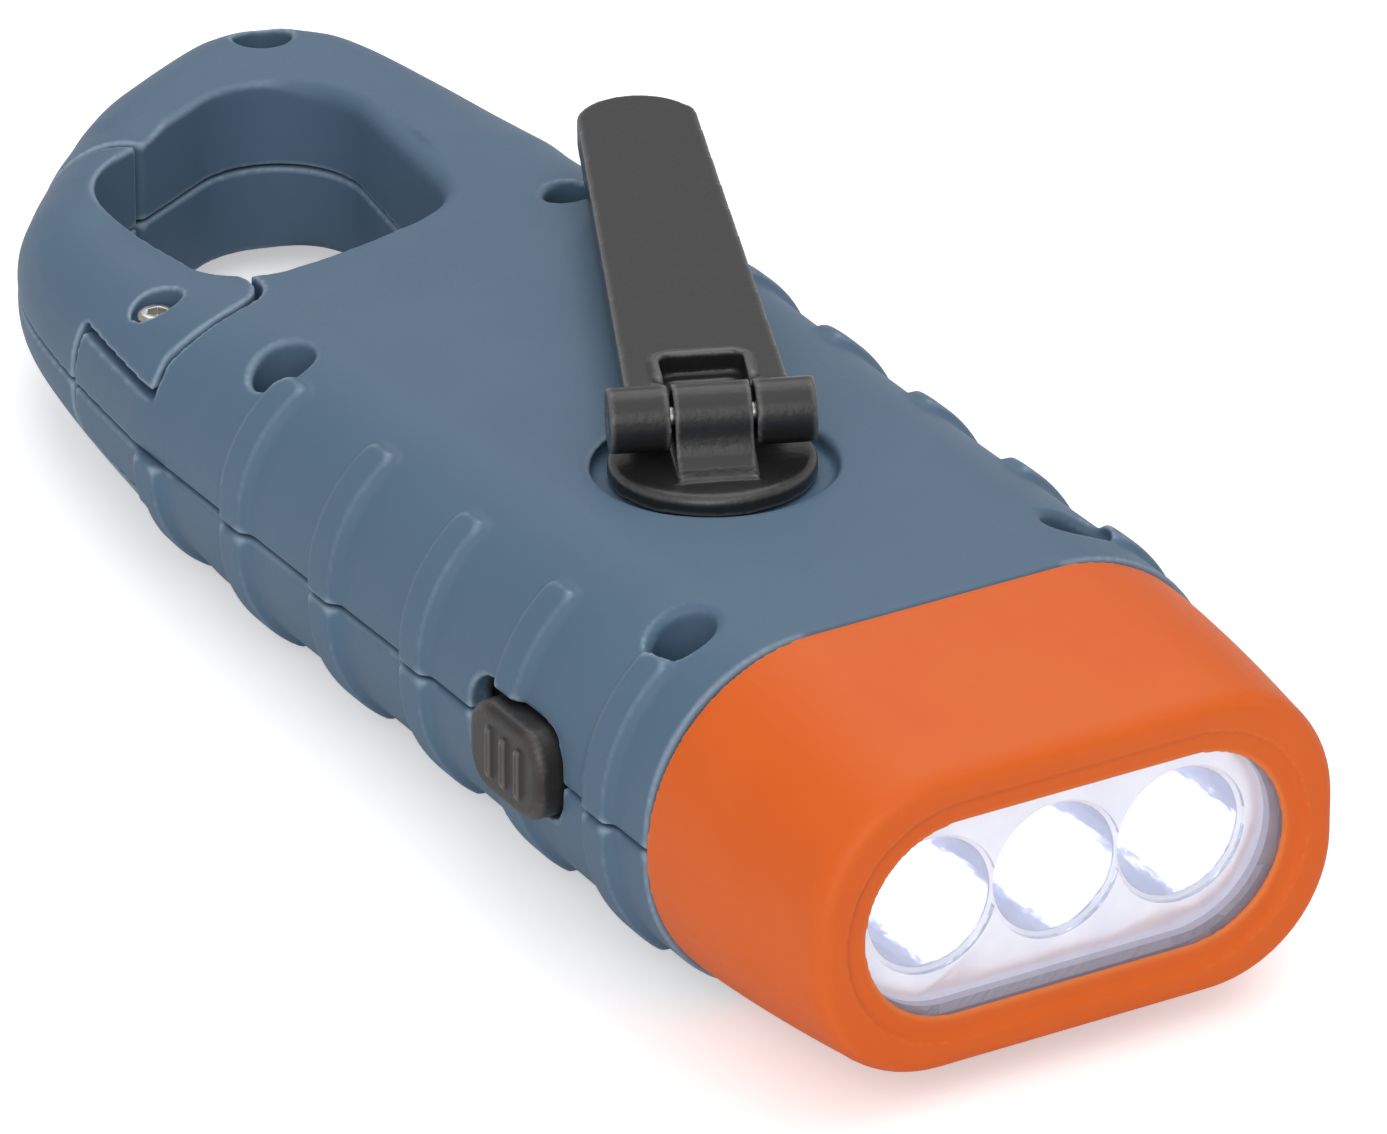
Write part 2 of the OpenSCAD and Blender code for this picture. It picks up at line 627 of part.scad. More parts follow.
module switch_button() {
  outer = half_w + button_out;
  inner = half_w * 0.86;
  x0 = -button_back - button_l;
  color(soft_black) rested() {
    difference() {
      union() {
        translate([0, -outer, 0]) rotate([-90, 0, 0]) linear_extrude(outer - inner)
          button_plan(-button_back, x0, 0);
        translate([x0 - button_travel - over, -inner, -button_t / 2 - over])
          cube([button_l + button_travel + 2 * over, flange_t, button_t + 2 * over]);
        translate([button_mid_x - stem_w / 2, -inner, board_z + board_t + stem_lift])
          cube([stem_w, inner + switch_front_y + switch_depth / 2 - knuckle_gap, stem_t]);
      }
      for (i = [-1.5, -0.5, 0.5, 1.5]) translate([button_mid_x + i * button_l / 5.5, -outer, 0])
        cube([over * 0.9, over * 0.8, button_t * 0.62], center = true);
    }
  }
}

module battery_cells() {
  color("#8f9aa6") rested() for (i = [0:cell_count - 1])
    on_floor(battery_x - i * (cell_d + over / 2), 0) translate([0, 0, 3 * fit_play]) cylinder(d = cell_d, h = cell_t);
}
battery_x = -hub_back + cell_d * 0.62;
tab_t = 0.3;
module battery_tabs() {
  color("#c9ccd0") rested() for (i = [0:cell_count - 2])
    on_floor(battery_x - i * (cell_d + over / 2), 0) translate([-cell_d * 1.1, -cell_d / 8, 3 * fit_play + cell_t])
      cube([cell_d * 1.2, cell_d / 4, tab_t]);
}

// Crank: the turning disc with its knuckle and shaft
hinge_z = crank_top + disc_rise + knuckle_gap + knuckle_d / 2;
module hinge_cylinder(d, l) {
  rotate([90, 0, 0]) cylinder(d = d, h = l, center = true);
}
module at_hinge() {
  on_crank() rotate([0, 0, crank_angle]) translate([0, 0, hinge_z]) children();
}
module crank_hub() {
  shaft_end = drive_z;
  color(soft_black) rested() difference() {
    union() {
      on_crank() translate([0, 0, crank_top + disc_rise - disc_t]) rotate_extrude() polygon(concat(
        [[0, 0], [disc_d / 2, 0]], arc([disc_d / 2 - disc_t / 3, disc_t * 2 / 3], disc_t / 3, 0, 90, 5), [[0, disc_t]]));
      on_crank() translate([0, 0, shaft_end]) cylinder(d = shaft_d, h = crank_top - shaft_end);
      at_hinge() hinge_cylinder(knuckle_d, knuckle_w);
      at_hinge() translate([-knuckle_d / 2, -knuckle_w / 2, -knuckle_d / 2 - knuckle_gap - disc_t / 2])
        cube([knuckle_d / 2, knuckle_w, knuckle_d / 2 + knuckle_gap + disc_t / 2]);
    }
    at_hinge() hinge_cylinder(pin_d + 2 * running_play, 2 * hinge_l);
    on_crank() translate([0, 0, shaft_end - over]) cylinder(d = screw_d + 2 * fit_play, h = screw_reach + over);
  }
}
module crank_arm() {
  side = (hinge_l - knuckle_w) / 2 - knuckle_gap;
  tip_r = arm_tip_w / 2;
  notch_w = knuckle_w + 3 * knuckle_gap;
  color(soft_black) rested() at_hinge() difference() {
    union() {
      for (s = [-1, 1]) translate([0, s * (knuckle_w / 2 + knuckle_gap + side / 2), 0]) hinge_cylinder(knuckle_d, side);
      translate([0, 0, -arm_t / 2]) linear_extrude(arm_t) polygon(concat(
        [[0, arm_w / 2], [0, -arm_w / 2]], arc([arm_l - tip_r, 0], tip_r, -80, 80, 16)));
    }
    translate([-knuckle_d, -notch_w / 2, -knuckle_d]) cube([knuckle_d + notch_l - over, notch_w, 2 * knuckle_d]);
    translate([0, -notch_w / 2 + over, -knuckle_d]) cube([notch_l, notch_w - 2 * over, 2 * knuckle_d]);
    for (s = [-1, 1]) translate([notch_l - over, s * (notch_w / 2 - over), -knuckle_d])
      cylinder(r = over, h = 2 * knuckle_d, $fn = 32);
    hinge_cylinder(pin_d, 2 * hinge_l);
  }
}
module hinge_pin() {
  color("#c9ccd0") rested() at_hinge() hinge_cylinder(pin_d, hinge_l - 2 * knuckle_gap);
}
module hub_bush() {
  color("#c8a24a") rested() on_crank() translate([0, 0, bush_bottom]) difference() {
    cylinder(d = bush_d, h = recess_floor - bush_bottom);
    translate([0, 0, -over]) cylinder(d = shaft_d + 2 * running_play, h = body_t);
  }
}

// Spur gear blank with straight flanked teeth; the first tooth points along its own X
function gear_outline(teeth) = let (rp = teeth * tooth_module / 2, step = 360 / teeth,
    ra = rp + 0.8 * tooth_module, rf = rp - 1.1 * tooth_module,
    tip = 0.10, mid = 0.19, root = 0.27)
  [for (i = [0:teeth - 1]) each [for (q = [[rf, -root], [rp, -mid], [ra, -tip], [ra, tip], [rp, mid], [rf, root]])
    let (a = step * (i + q[1])) q[0] * [cos(a), sin(a)]]];
// Angle that puts a gap of the driven gear opposite a tooth of its driver
function gap_turn(towards, teeth) = towards + 180 + 180 / teeth;

module drive_gear() {
  color("#e8e4da") rested() on_crank() translate([0, 0, drive_z]) difference() {
    union() {
      rotate([0, 0, idler_1_a]) linear_extrude(gear_t) polygon(gear_outline(drive_teeth));
      cylinder(d = shaft_d + 2 * wall, h = gear_t + plate_t * 0.7);
    }
    translate([0, 0, -over]) cylinder(d = shaft_d, h = body_t);
  }
}
washer_t = 0.4;
module hub_washer() {
  color("#c9ccd0") rested() on_crank() translate([0, 0, drive_z - washer_t]) difference() {
    cylinder(d = shaft_d + wall, h = washer_t);
    translate([0, 0, -over]) cylinder(d = screw_d + 2 * fit_play, h = 3 * over);
  }
}
module hub_screw() {
  color("#b6b9bd") rested() on_crank() translate([0, 0, drive_z - washer_t]) {
    translate([0, 0, -screw_head_t]) cylinder(d = screw_head_d, h = screw_head_t);
    cylinder(d = screw_d, h = washer_t + screw_reach - over);
  }
}
module compound(at, big_teeth, z, big_turn, small_turn) {
  color("#e8e4da") rested() on_crank() translate([at[0], at[1], z]) difference() {
    union() {
      rotate([0, 0, big_turn]) linear_extrude(gear_t) polygon(gear_outline(big_teeth));
      rotate([0, 0, small_turn]) linear_extrude(gear_t + pinion_t) polygon(gear_outline(pinion_teeth));
    }
    translate([0, 0, -over]) cylinder(d = axle_d + 2 * running_play, h = body_t);
  }
}
pinion_t = stage_step + gear_t / 4;
module idler_gear_1() {
  compound(idler_1_at, wheel_1_teeth, wheel_1_z, idler_2_a, gap_turn(idler_1_a, pinion_teeth));
}
module idler_gear_2() {
  compound(idler_2_at, wheel_2_teeth, wheel_2_z, rotor_a, gap_turn(idler_2_a, pinion_teeth));
}
module gear_axles() {
  color("#c9ccd0") rested() on_crank() for (p = [idler_1_at, idler_2_at])
    translate([p[0], p[1], base_plate_z]) cylinder(d = axle_d, h = top_plate_z + plate_t - base_plate_z);
}
module axle_holes() {
  for (p = [idler_1_at, idler_2_at]) translate([p[0], p[1], base_plate_z - over])
    cylinder(d = axle_d, h = body_t);
}
module gear_plate_top() {
  color("#2f3236") rested() on_crank() difference() {
    translate([0, 0, top_plate_z]) linear_extrude(plate_t) plate_plan();
    axle_holes();
    for (p = pillar_places) translate([p[0], p[1], 0]) cylinder(d = screw_d + 2 * fit_play, h = body_t);
    translate([rotor_at[0], rotor_at[1], 0]) cylinder(d = rotor_shaft_d * 3, h = body_t);
  }
}
module gear_plate_base() {
  color("#2f3236") rested() on_crank() difference() {
    union() {
      translate([0, 0, base_plate_z]) linear_extrude(plate_t) plate_plan();
      for (p = pillar_places) translate([p[0], p[1], base_plate_z]) cylinder(d = pillar_d, h = top_plate_z - base_plate_z);
    }
    axle_holes();
    for (p = pillar_places) translate([p[0], p[1], top_plate_z - screw_reach]) cylinder(d = screw_d + 2 * fit_play, h = body_t);
    translate([rotor_at[0], rotor_at[1], base_plate_z - over]) cylinder(d = rotor_shaft_d + 2 * running_play, h = 2 * over + plate_t);
  }
}
low_head_t = 0.8;
module plate_screws() {
  color("#b6b9bd") rested() on_crank() for (p = pillar_places) translate([p[0], p[1], top_plate_z + plate_t]) {
    cylinder(d = screw_head_d, h = low_head_t);
    translate([0, 0, -plate_t - screw_reach + over]) cylinder(d = screw_d, h = plate_t + screw_reach - over);
  }
}

// Generator
module at_rotor() {
  on_crank() translate([rotor_at[0], rotor_at[1], 0]) children();
}
module motor_can() {
  color("#b9bcc0") rested() at_rotor() translate([0, 0, can_z]) difference() {
    cylinder(d = can_d, h = can_t);
    translate([0, 0, -over]) cylinder(d = can_d - 2 * can_wall, h = can_t - can_wall + over);
    cylinder(d = rotor_shaft_d + 2 * running_play, h = body_t);
  }
}
module motor_cap() {
  color("#d8d2c2") rested() at_rotor() translate([0, 0, can_z]) difference() {
    cylinder(d = can_d - 2 * can_wall, h = can_wall);
    translate([0, 0, -over]) cylinder(d = rotor_shaft_d + 2 * running_play, h = body_t);
  }
}
module stator_coil() {
  color("#b4653a") rested() at_rotor() translate([0, 0, can_z + can_wall]) difference() {
    cylinder(d = can_d - 2 * can_wall, h = can_t - 2 * can_wall);
    translate([0, 0, -over]) cylinder(d = magnet_d + 2 * knuckle_gap, h = body_t);
  }
}
module rotor_magnet() {
  color("#4a4d52") rested() at_rotor() translate([0, 0, can_z + can_wall + knuckle_gap]) difference() {
    cylinder(d = magnet_d, h = can_t - 2 * can_wall - 2 * knuckle_gap);
    translate([0, 0, -over]) cylinder(d = rotor_shaft_d, h = body_t);
  }
}
module motor_shaft() {
  bottom = base_plate_z;
  color("#c9ccd0") rested() at_rotor() translate([0, 0, bottom])
    cylinder(d = rotor_shaft_d, h = can_z + can_t - bottom);
}
module motor_pinion() {
  color("#c8a24a") rested() at_rotor() translate([0, 0, wheel_2_z - fit_play])
    rotate([0, 0, gap_turn(rotor_a, rotor_teeth)]) linear_extrude(gear_t + 2 * fit_play) difference() {
      polygon(gear_outline(rotor_teeth));
      circle(d = rotor_shaft_d);
    }
}

// Gate: two halves that meet at the seam and straddle the housing's tongue
module gate_half() {
  difference() {
    intersection() {
      half_tail();
      translate([0, 0, -over]) linear_extrude(body_t) gate_plan(0);
    }
    eye_cut();
    translate([0, 0, -over]) linear_extrude(tongue_t / 2 + gate_gap + over)
      tongue_plan(gate_gap, gate_swing + 6);
    translate([pivot[0], pivot[1], 0]) cylinder(d = pivot_d, h = body_t);
  }
}
pivot_head_z = top_h(pivot[0], pivot[1]) - 2 * pivot_head_t;
module gate_upper() {
  color(housing_blue) rested() difference() {
    gate_half();
    translate([pivot[0], pivot[1], pivot_head_z]) cylinder(d = pivot_head_d + 2 * fit_play, h = body_t);
  }
}
module gate_lower() {
  color(housing_blue) rested() mirror([0, 0, 1]) gate_half();
}
pivot_end_z = -ring_t / 2 + over;
module gate_pivot() {
  color("#cfd2d5") rested() translate([pivot[0], pivot[1], 0]) difference() {
    union() {
      translate([0, 0, pivot_end_z]) cylinder(d = pivot_d, h = pivot_head_z - pivot_end_z + pivot_head_t / 4);
      translate([0, 0, pivot_head_z]) cylinder(d = pivot_head_d, h = pivot_head_t);
    }
    translate([0, 0, pivot_head_z + pivot_head_t / 3]) cylinder(d = pivot_head_d / 2, h = body_t, $fn = 6);
  }
}
module gate_spring() {
  color("#9a9da1") rested() translate([pivot[0], pivot[1], -spring_l / 2]) difference() {
    cylinder(r = spring_r, h = spring_l);
    translate([0, 0, -over]) cylinder(r = spring_r - spring_wire, h = body_t);
  }
}
module housing_screws() {
  color("#b6b9bd") rested() at_wells() difference() {
    union() {
      translate([0, 0, well_floor]) cylinder(d = screw_head_d, h = screw_head_t);
      translate([0, 0, -screw_reach]) cylinder(d = screw_d, h = screw_reach + well_floor);
    }
    translate([0, 0, well_floor + screw_head_t / 3]) cylinder(d = screw_head_d / 2, h = body_t, $fn = 6);
  }
}

top_shell();
bottom_shell();
bezel();
lens();
lens_seal();
reflector();
leds();
led_board();
lamp_pins();
main_board();
slide_switch();
battery_cells();
battery_tabs();
switch_button();
crank_hub();
crank_arm();
hinge_pin();
hub_bush();
hub_washer();
hub_screw();
drive_gear();
idler_gear_1();
idler_gear_2();
gear_axles();
gear_plate_top();
gear_plate_base();
plate_screws();
motor_can();
motor_cap();
stator_coil();
rotor_magnet();
motor_shaft();
motor_pinion();
gate_upper();
gate_lower();
gate_pivot();
gate_spring();
housing_screws();
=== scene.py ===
"""Hand crank flashlight, dressed for a product picture: a slate blue two-shell housing with a snap ring,
an orange lamp bezel, a black folding crank and a slide switch, lying on its flat underside."""

import math

import bpy
import bmesh
import numpy as np
from mathutils import Matrix, Vector


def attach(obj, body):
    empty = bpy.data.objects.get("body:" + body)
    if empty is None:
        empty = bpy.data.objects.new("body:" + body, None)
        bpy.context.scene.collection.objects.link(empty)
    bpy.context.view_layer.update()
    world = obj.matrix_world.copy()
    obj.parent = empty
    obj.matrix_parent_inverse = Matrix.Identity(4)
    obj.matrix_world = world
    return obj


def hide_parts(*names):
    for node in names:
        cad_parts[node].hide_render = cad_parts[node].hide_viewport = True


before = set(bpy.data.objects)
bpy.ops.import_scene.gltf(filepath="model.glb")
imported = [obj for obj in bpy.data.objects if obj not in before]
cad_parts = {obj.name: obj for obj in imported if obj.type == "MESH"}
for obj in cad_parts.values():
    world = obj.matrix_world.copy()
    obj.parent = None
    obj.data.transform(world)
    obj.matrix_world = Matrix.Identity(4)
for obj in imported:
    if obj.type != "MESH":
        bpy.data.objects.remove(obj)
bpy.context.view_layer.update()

# The camera
# It stands 1.08 m from the lamp face, high on the switch side, with a long lens that keeps the torch's
# edges nearly parallel. The torch is drawn in millimetres on its parting plane, +X out of the lamps,
# and it lies on its lower face, which tips that plane back by the taper of 42 mm a metre.
TAPER = 0.042
TILT = math.atan(TAPER)
LENGTH, JOINT_X, JOINT_H = 150.0, -20.6, 14.5


def shell_height(x):
    """Half thickness of the housing, straight from the lamp cap to the ring."""
    return JOINT_H + TAPER * (x - JOINT_X)


middle_x = -0.4 * LENGTH
lift = shell_height(middle_x) * math.cos(TILT) - middle_x * math.sin(TILT)
shift = middle_x * math.cos(TILT) + shell_height(middle_x) * math.sin(TILT)
LAY = Matrix.Translation((-shift, 0, lift)) @ Matrix.Rotation(-TILT, 4, "Y")

DISTANCE, ASIDE, RAISED = 1080.0, 28.65, 23.26
azimuth, elevation = math.radians(59.35), math.radians(27.35)
back = Vector((math.sin(azimuth) * math.cos(elevation), -math.cos(azimuth) * math.cos(elevation),
               math.sin(elevation)))
right = Vector((math.cos(azimuth), math.sin(azimuth), 0))
up = back.cross(right)
stand = back * DISTANCE - right * ASIDE + up * RAISED + Vector((0, 0.5, 0))
turn = Matrix((right, up, back)).transposed().to_4x4()
view = LAY @ Matrix.Translation(stand) @ turn
camera_data = bpy.data.cameras.new("camera")
camera_data.sensor_width, camera_data.lens = 36.0, 384.04
camera_data.clip_start, camera_data.clip_end = 0.05, 20.0
camera = bpy.data.objects.new("camera", camera_data)
bpy.context.scene.collection.objects.link(camera)
camera.rotation_mode = "QUATERNION"
camera.location = view.translation * 0.001
camera.rotation_quaternion = view.to_3x3().to_quaternion()
bpy.context.scene.camera = camera


# The housing shells
# Two mirrored mouldings in slate blue ABS, screwed together on the parting plane. They taper to a thin
# ring at the tail and carry grip ribs round their long edges. Each is roughed out as a solid, joined
# and cut, and its edges are then melted round on a fine grid, as a mould leaves them.
METRES = Matrix.Scale(0.001, 4)
HALF_WIDTH = 25.0
# Outward turn of the skin, per millimetre, at which its painted edge highlight starts, and the span to full.
HIGHLIGHT_START, HIGHLIGHT_SPAN = 0.36, 0.9


def rgb(code):
    """An sRGB hex colour as linear red, green, blue and alpha."""
    parts = [int(code[i:i + 2], 16) / 255 for i in (1, 3, 5)]
    return (*[c / 12.92 if c <= 0.04045 else ((c + 0.055) / 1.055) ** 2.4 for c in parts], 1.0)


def add(tree, kind, sockets=(), **settings):
    """Adds a shader node; a socket is given a value, or another node's output to link."""
    node = tree.nodes.new(kind)
    for name, value in settings.items():
        setattr(node, name, value)
    for name, value in dict(sockets).items():
        if isinstance(value, bpy.types.NodeSocket):
            tree.links.new(value, node.inputs[name])
        else:
            node.inputs[name].default_value = value
    return node


def blank_material(name):
    """A new material with an empty node tree."""
    material = bpy.data.materials.new(name)
    material.use_nodes = True
    material.node_tree.nodes.clear()
    return material


def as_object(bm, name):
    """Makes an object of a worked mesh, which it frees."""
    mesh = bpy.data.meshes.new(name)
    bm.to_mesh(mesh)
    bm.free()
    piece = bpy.data.objects.new(name, mesh)
    bpy.context.scene.collection.objects.link(piece)
    return piece


def baked(piece):
    """Swaps an object's mesh for the one that its modifiers give."""
    graph = bpy.context.evaluated_depsgraph_get()
    mesh = bpy.data.meshes.new_from_object(piece.evaluated_get(graph))
    piece.modifiers.clear()
    old = piece.data
    piece.data = mesh
    bpy.data.meshes.remove(old)


def combine(piece, tools, operation):
    """Joins or cuts a solid with others, one after the other, and uses them up."""
    for tool in tools:
        step = piece.modifiers.new("step", "BOOLEAN")
        step.object, step.operation, step.solver = tool, operation, "MANIFOLD"
        baked(piece)
        bpy.data.objects.remove(tool)


def melt(piece, grain, rounds, share=1.0):
    """Recasts a solid on a grid of some millimetres and smooths it; a share of its faces is kept."""
    grid = piece.modifiers.new("grid", "REMESH")
    grid.mode, grid.voxel_size = "VOXEL", grain
    soften = piece.modifiers.new("soften", "SMOOTH")
    soften.factor, soften.iterations = 0.5, rounds
    if share < 1:
        thin = piece.modifiers.new("thin", "DECIMATE")
        thin.ratio = share
    baked(piece)


def mark_edge_highlights(mesh):
    """Stores how sharply each point of the skin turns outwards, from 0 to 1, for the highlight painted on its
    convex edges.
    """
    count = len(mesh.vertices)
    spots, normals = np.empty(count * 3, np.float32), np.empty(count * 3, np.float32)
    ends = np.empty(len(mesh.edges) * 2, np.int32)
    mesh.vertices.foreach_get("co", spots)
    mesh.vertex_normals.foreach_get("vector", normals)
    mesh.edges.foreach_get("vertices", ends)
    spots, normals, ends = spots.reshape(-1, 3), normals.reshape(-1, 3), ends.reshape(-1, 2)
    both = np.concatenate((ends, ends[:, ::-1]))
    share = np.maximum(np.bincount(both[:, 0], minlength=count), 1)

    def near(values):
        return np.bincount(both[:, 0], weights=values[both[:, 1]], minlength=count) / share

    gap = np.stack([spots[:, k] - near(spots[:, k]) for k in range(3)], axis=1)
    length = ((spots[both[:, 0]] - spots[both[:, 1]]) ** 2).sum(axis=1)
    spacing = np.bincount(both[:, 0], weights=length, minlength=count) / share + 1e-6
    turn_rate = 2 * (gap * normals).sum(axis=1) / spacing
    for i in range(3):
        turn_rate = (turn_rate + near(turn_rate)) / 2
    marks = mesh.attributes.new("edge", "FLOAT", "POINT")
    marks.data.foreach_set("value", np.clip((turn_rate - HIGHLIGHT_START) / HIGHLIGHT_SPAN, 0, 1).astype(np.float32))


def place(piece, name, body, material, nodes):
    """Lays a finished solid in the torch's pose, in metres, and lets it stand for CAD nodes."""
    mark_edge_highlights(piece.data)
    piece.data.transform(METRES @ LAY)
    piece.name = piece.data.name = name
    piece.data.polygons.foreach_set("use_smooth", [True] * len(piece.data.polygons))
    piece.data.materials.clear()
    piece.data.materials.append(material)
    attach(piece, body)
    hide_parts(*nodes)


def moulded_plastic(name, tones, roughness, grain_mm, depth, edge, specular=0.5):
    """Moulded plastic: two near tones in clouds of about 17 mm, a spark-eroded grain, and a paler highlight
    painted on its edges.
    """
    material = blank_material(name)
    tree = material.node_tree
    where = add(tree, "ShaderNodeTexCoord").outputs["Object"]
    cloud = add(tree, "ShaderNodeTexNoise", {"Vector": where, "Scale": 60.0, "Detail": 3.0, "Roughness": 0.6})
    tint = add(tree, "ShaderNodeMix", {0: cloud.outputs["Fac"], 6: rgb(tones[0]), 7: rgb(tones[1])},
               data_type="RGBA")
    # The edge share blends in the edge colour: a painted highlight on convex edges.
    bend = add(tree, "ShaderNodeAttribute", attribute_name="edge").outputs["Fac"]
    edge_highlight = add(tree, "ShaderNodeMapRange", {"Value": bend, "To Max": edge[1]})
    colour = add(tree, "ShaderNodeMix", {0: edge_highlight.outputs[0], 6: tint.outputs[2], 7: rgb(edge[0])},
                 data_type="RGBA")
    grain = add(tree, "ShaderNodeTexNoise", {"Vector": where, "Scale": 1000.0 / grain_mm, "Detail": 2.0,
                                             "Roughness": 0.5})
    gloss = add(tree, "ShaderNodeMapRange", {"Value": grain.outputs["Fac"], "To Min": roughness - 0.06,
                                             "To Max": roughness + 0.06})
    relief = add(tree, "ShaderNodeBump", {"Height": grain.outputs["Fac"], "Strength": depth,
                                          "Distance": 0.0001})
    skin = add(tree, "ShaderNodeBsdfPrincipled", {"Base Color": colour.outputs[2], "IOR": 1.5,
                                                  "Roughness": gloss.outputs[0],
                                                  "Normal": relief.outputs[0],
                                                  "Specular IOR Level": specular})
    add(tree, "ShaderNodeOutputMaterial", {"Surface": skin.outputs[0]})
    return material


# ABS from a spark-eroded mould has a soft, broad shine, and a paler highlight is painted on its rounded
# edges. Its grain of about
# 0.1 mm is drawn at 0.35 mm, so that it shows.
housing_abs = moulded_plastic("housing_abs", tones=("#51697f", "#5a738a"), roughness=0.52, grain_mm=0.35,
                              depth=0.16, edge=("#9aadbe", 0.68), specular=0.3)

# Side edges, the outline round the ring and the long edges' roundness, as shares of the length and
# of the half width or the half thickness. Each row of the ring's outline holds its left and right point.
SIDE = ((0.137, 0.988), (0.36, 0.988), (0.53, 1.0), (0.655, 1.004))
TAIL = ((0.655, -1.003, 0.655, 1.004), (0.731, -0.96, 0.731, 0.988), (0.801, -0.888, 0.807, 0.968),
        (0.845, -0.788, 0.86, 0.948), (0.873, -0.664, 0.903, 0.912), (0.894, -0.552, 0.936, 0.872),
        (0.916, -0.432, 0.959, 0.82), (0.952, -0.192, 0.976, 0.736), (0.971, -0.008, 0.988, 0.656),
        (0.988, 0.184, 0.996, 0.544), (0.995, 0.28, 0.9985, 0.48))
TAIL_END = 0.1
CORNER = ((0.137, 1.0), (0.36, 0.94), (0.59, 0.885), (1.0, 0.85))
RING_H, THIN_START, THIN_END = 7.5, 52.0, 18.0
DISH_AT, DISH_R, DISH_H, DISH_RATE = Vector((-120.0, -5.0)), 16.0, 8.4, 0.19
RIB_START, RIB_PITCH, RIB_W, RIB_H, RIB_REACH = 27.3, 13.6, 3.6, 0.75, 19.2
RIB_CORNER, RIB_FLANK = 0.9, 0.4
WALL, SEAM = 2.0, 0.1
# The drape over a half: its upright foot and rounded edge end at these shares of the way from a
# seam to the middle, and the flat between starts at this share of the way from seam to seam.
FOOT_END, EDGE_END, EDGE_SPAN, FLAT_START, FLAT_SPAN = 0.08, 0.7, 0.62, 0.35, 0.3


def step_to(table, t):
    """Straight-line reading of a table of pairs."""
    for (a, p), (b, q) in zip(table, table[1:]):
        if t <= b:
            return p + (q - p) * max(0.0, (t - a) / (b - a))
    return table[-1][1]


def ease(t):
    """A soft step from 0 to 1."""
    t = min(1.0, max(0.0, t))
    return t * t * (3 - 2 * t)


def body_height(x):
    """Half thickness of the housing, which thins towards the ring."""
    start = THIN_START - LENGTH
    if x > start:
        return shell_height(x)
    return shell_height(start) + (RING_H - shell_height(start)) * ease((start - x) / (THIN_START - THIN_END))


def top_height(x, y):
    """Height of the top skin: the dish round the eye runs out behind its centre."""
    away = Vector((max(x, DISH_AT.x), y)) - DISH_AT
    dish = DISH_H + DISH_RATE * (away.length - DISH_R) + 0.12 * max(0.0, DISH_AT.x - x)
    return min(body_height(x), dish)


def tail_row(u):
    """Left and right points of the outline round the ring, on a smooth curve through its rows."""
    i = min(int(u), len(TAIL) - 2)
    f = u - i
    a, b, c, d = (TAIL[min(max(k, 0), len(TAIL) - 1)] for k in (i - 1, i, i + 1, i + 2))
    p = [0.5 * (2 * b[k] + (c[k] - a[k]) * f + (2 * a[k] - 5 * b[k] + 4 * c[k] - d[k]) * f * f
                + (3 * b[k] - a[k] - 3 * c[k] + d[k]) * f * f * f) for k in range(4)]
    return Vector((-p[0] * LENGTH, p[1] * HALF_WIDTH)), Vector((-p[2] * LENGTH, p[3] * HALF_WIDTH))


def outline_at(s):
    """Left point and normal, right point and normal: s runs 0 to 1 to the tail's start, then round it."""
    if s <= 1:
        x = JOINT_X + (-TAIL[0][0] * LENGTH - JOINT_X) * s
        y = HALF_WIDTH * step_to(SIDE, -x / LENGTH)
        return Vector((x, -y)), Vector((0, -1)), Vector((x, y)), Vector((0, 1))
    last = len(TAIL) - 1
    u = min((s - 1) * last, last)
    (l0, r0), (l1, r1) = tail_row(max(0, u - 0.05)), tail_row(min(last, u + 0.05))
    left, right_side = tail_row(u)
    tl, tr = (l1 - l0).normalized(), (r1 - r0).normalized()
    nl, nr = Vector((-tl.y, tl.x)), Vector((tr.y, -tr.x))
    if s <= 2:
        return left, nl, right_side, nr
    f = (s - 2) / TAIL_END / 2
    bulge = 0.55 * (left - right_side).length / (nl - nr).length
    blend = [(nl.lerp(nr, g), left.lerp(right_side, g)) for g in (f, 1 - f)]
    (nl, left), (nr, right_side) = [(n.normalized(), p + (n.normalized() - n) * bulge) for n, p in blend]
    return left, nl, right_side, nr


def rib_rise(x, y, count):
    """Height of the grip ribs: flat bars with short flanks and rounded corners."""
    i = min(max(round((-x - RIB_START) / RIB_PITCH), 0), count - 1)
    across = abs(x + RIB_START + RIB_PITCH * i) - RIB_W / 2 + RIB_CORNER
    past = RIB_REACH + RIB_CORNER - abs(y)
    edge = math.hypot(max(0.0, across), max(0.0, past)) - RIB_CORNER
    return RIB_H * ease(0.5 - edge / RIB_FLANK) if count else 0.0


def shell_point(s, t, ribs, inset, base):
    """A point on the half shell's skin: t runs from the left seam over the top to the right seam."""
    left, nl, right_side, nr = outline_at(s)
    point, normal = (left, nl) if t < 0.5 else (right_side, nr)
    q = 1 - abs(2 * t - 1)
    h_side = body_height(point.x)
    r = h_side * step_to(CORNER, -point.x / LENGTH)
    crown = point - normal * r
    h = top_height(crown.x, crown.y)
    r = min(r, h - 1) - inset
    edge = point - normal * inset
    if q < FOOT_END:
        foot = edge + normal * rib_rise(point.x, point.y, ribs)
        return Vector((foot.x, foot.y, base + (h - inset - r - base) * q / FOOT_END))
    if q < EDGE_END:
        a = (q - FOOT_END) / EDGE_SPAN * math.pi / 2
        y = abs(edge.y) - r * (1 - math.cos(a))
        rise = rib_rise(point.x, y, ribs)
        flat = edge + normal * (rise * math.cos(a) - r * (1 - math.cos(a)))
        return Vector((flat.x, flat.y, h - inset - r + (r + rise) * math.sin(a)))
    ends = [p - n * (inset + r) for p, n in ((left, nl), (right_side, nr))]
    f = (t - FLAT_START) / FLAT_SPAN
    flat = ends[0].lerp(ends[1], f)
    return Vector((flat.x, flat.y, top_height(flat.x, flat.y) - inset))


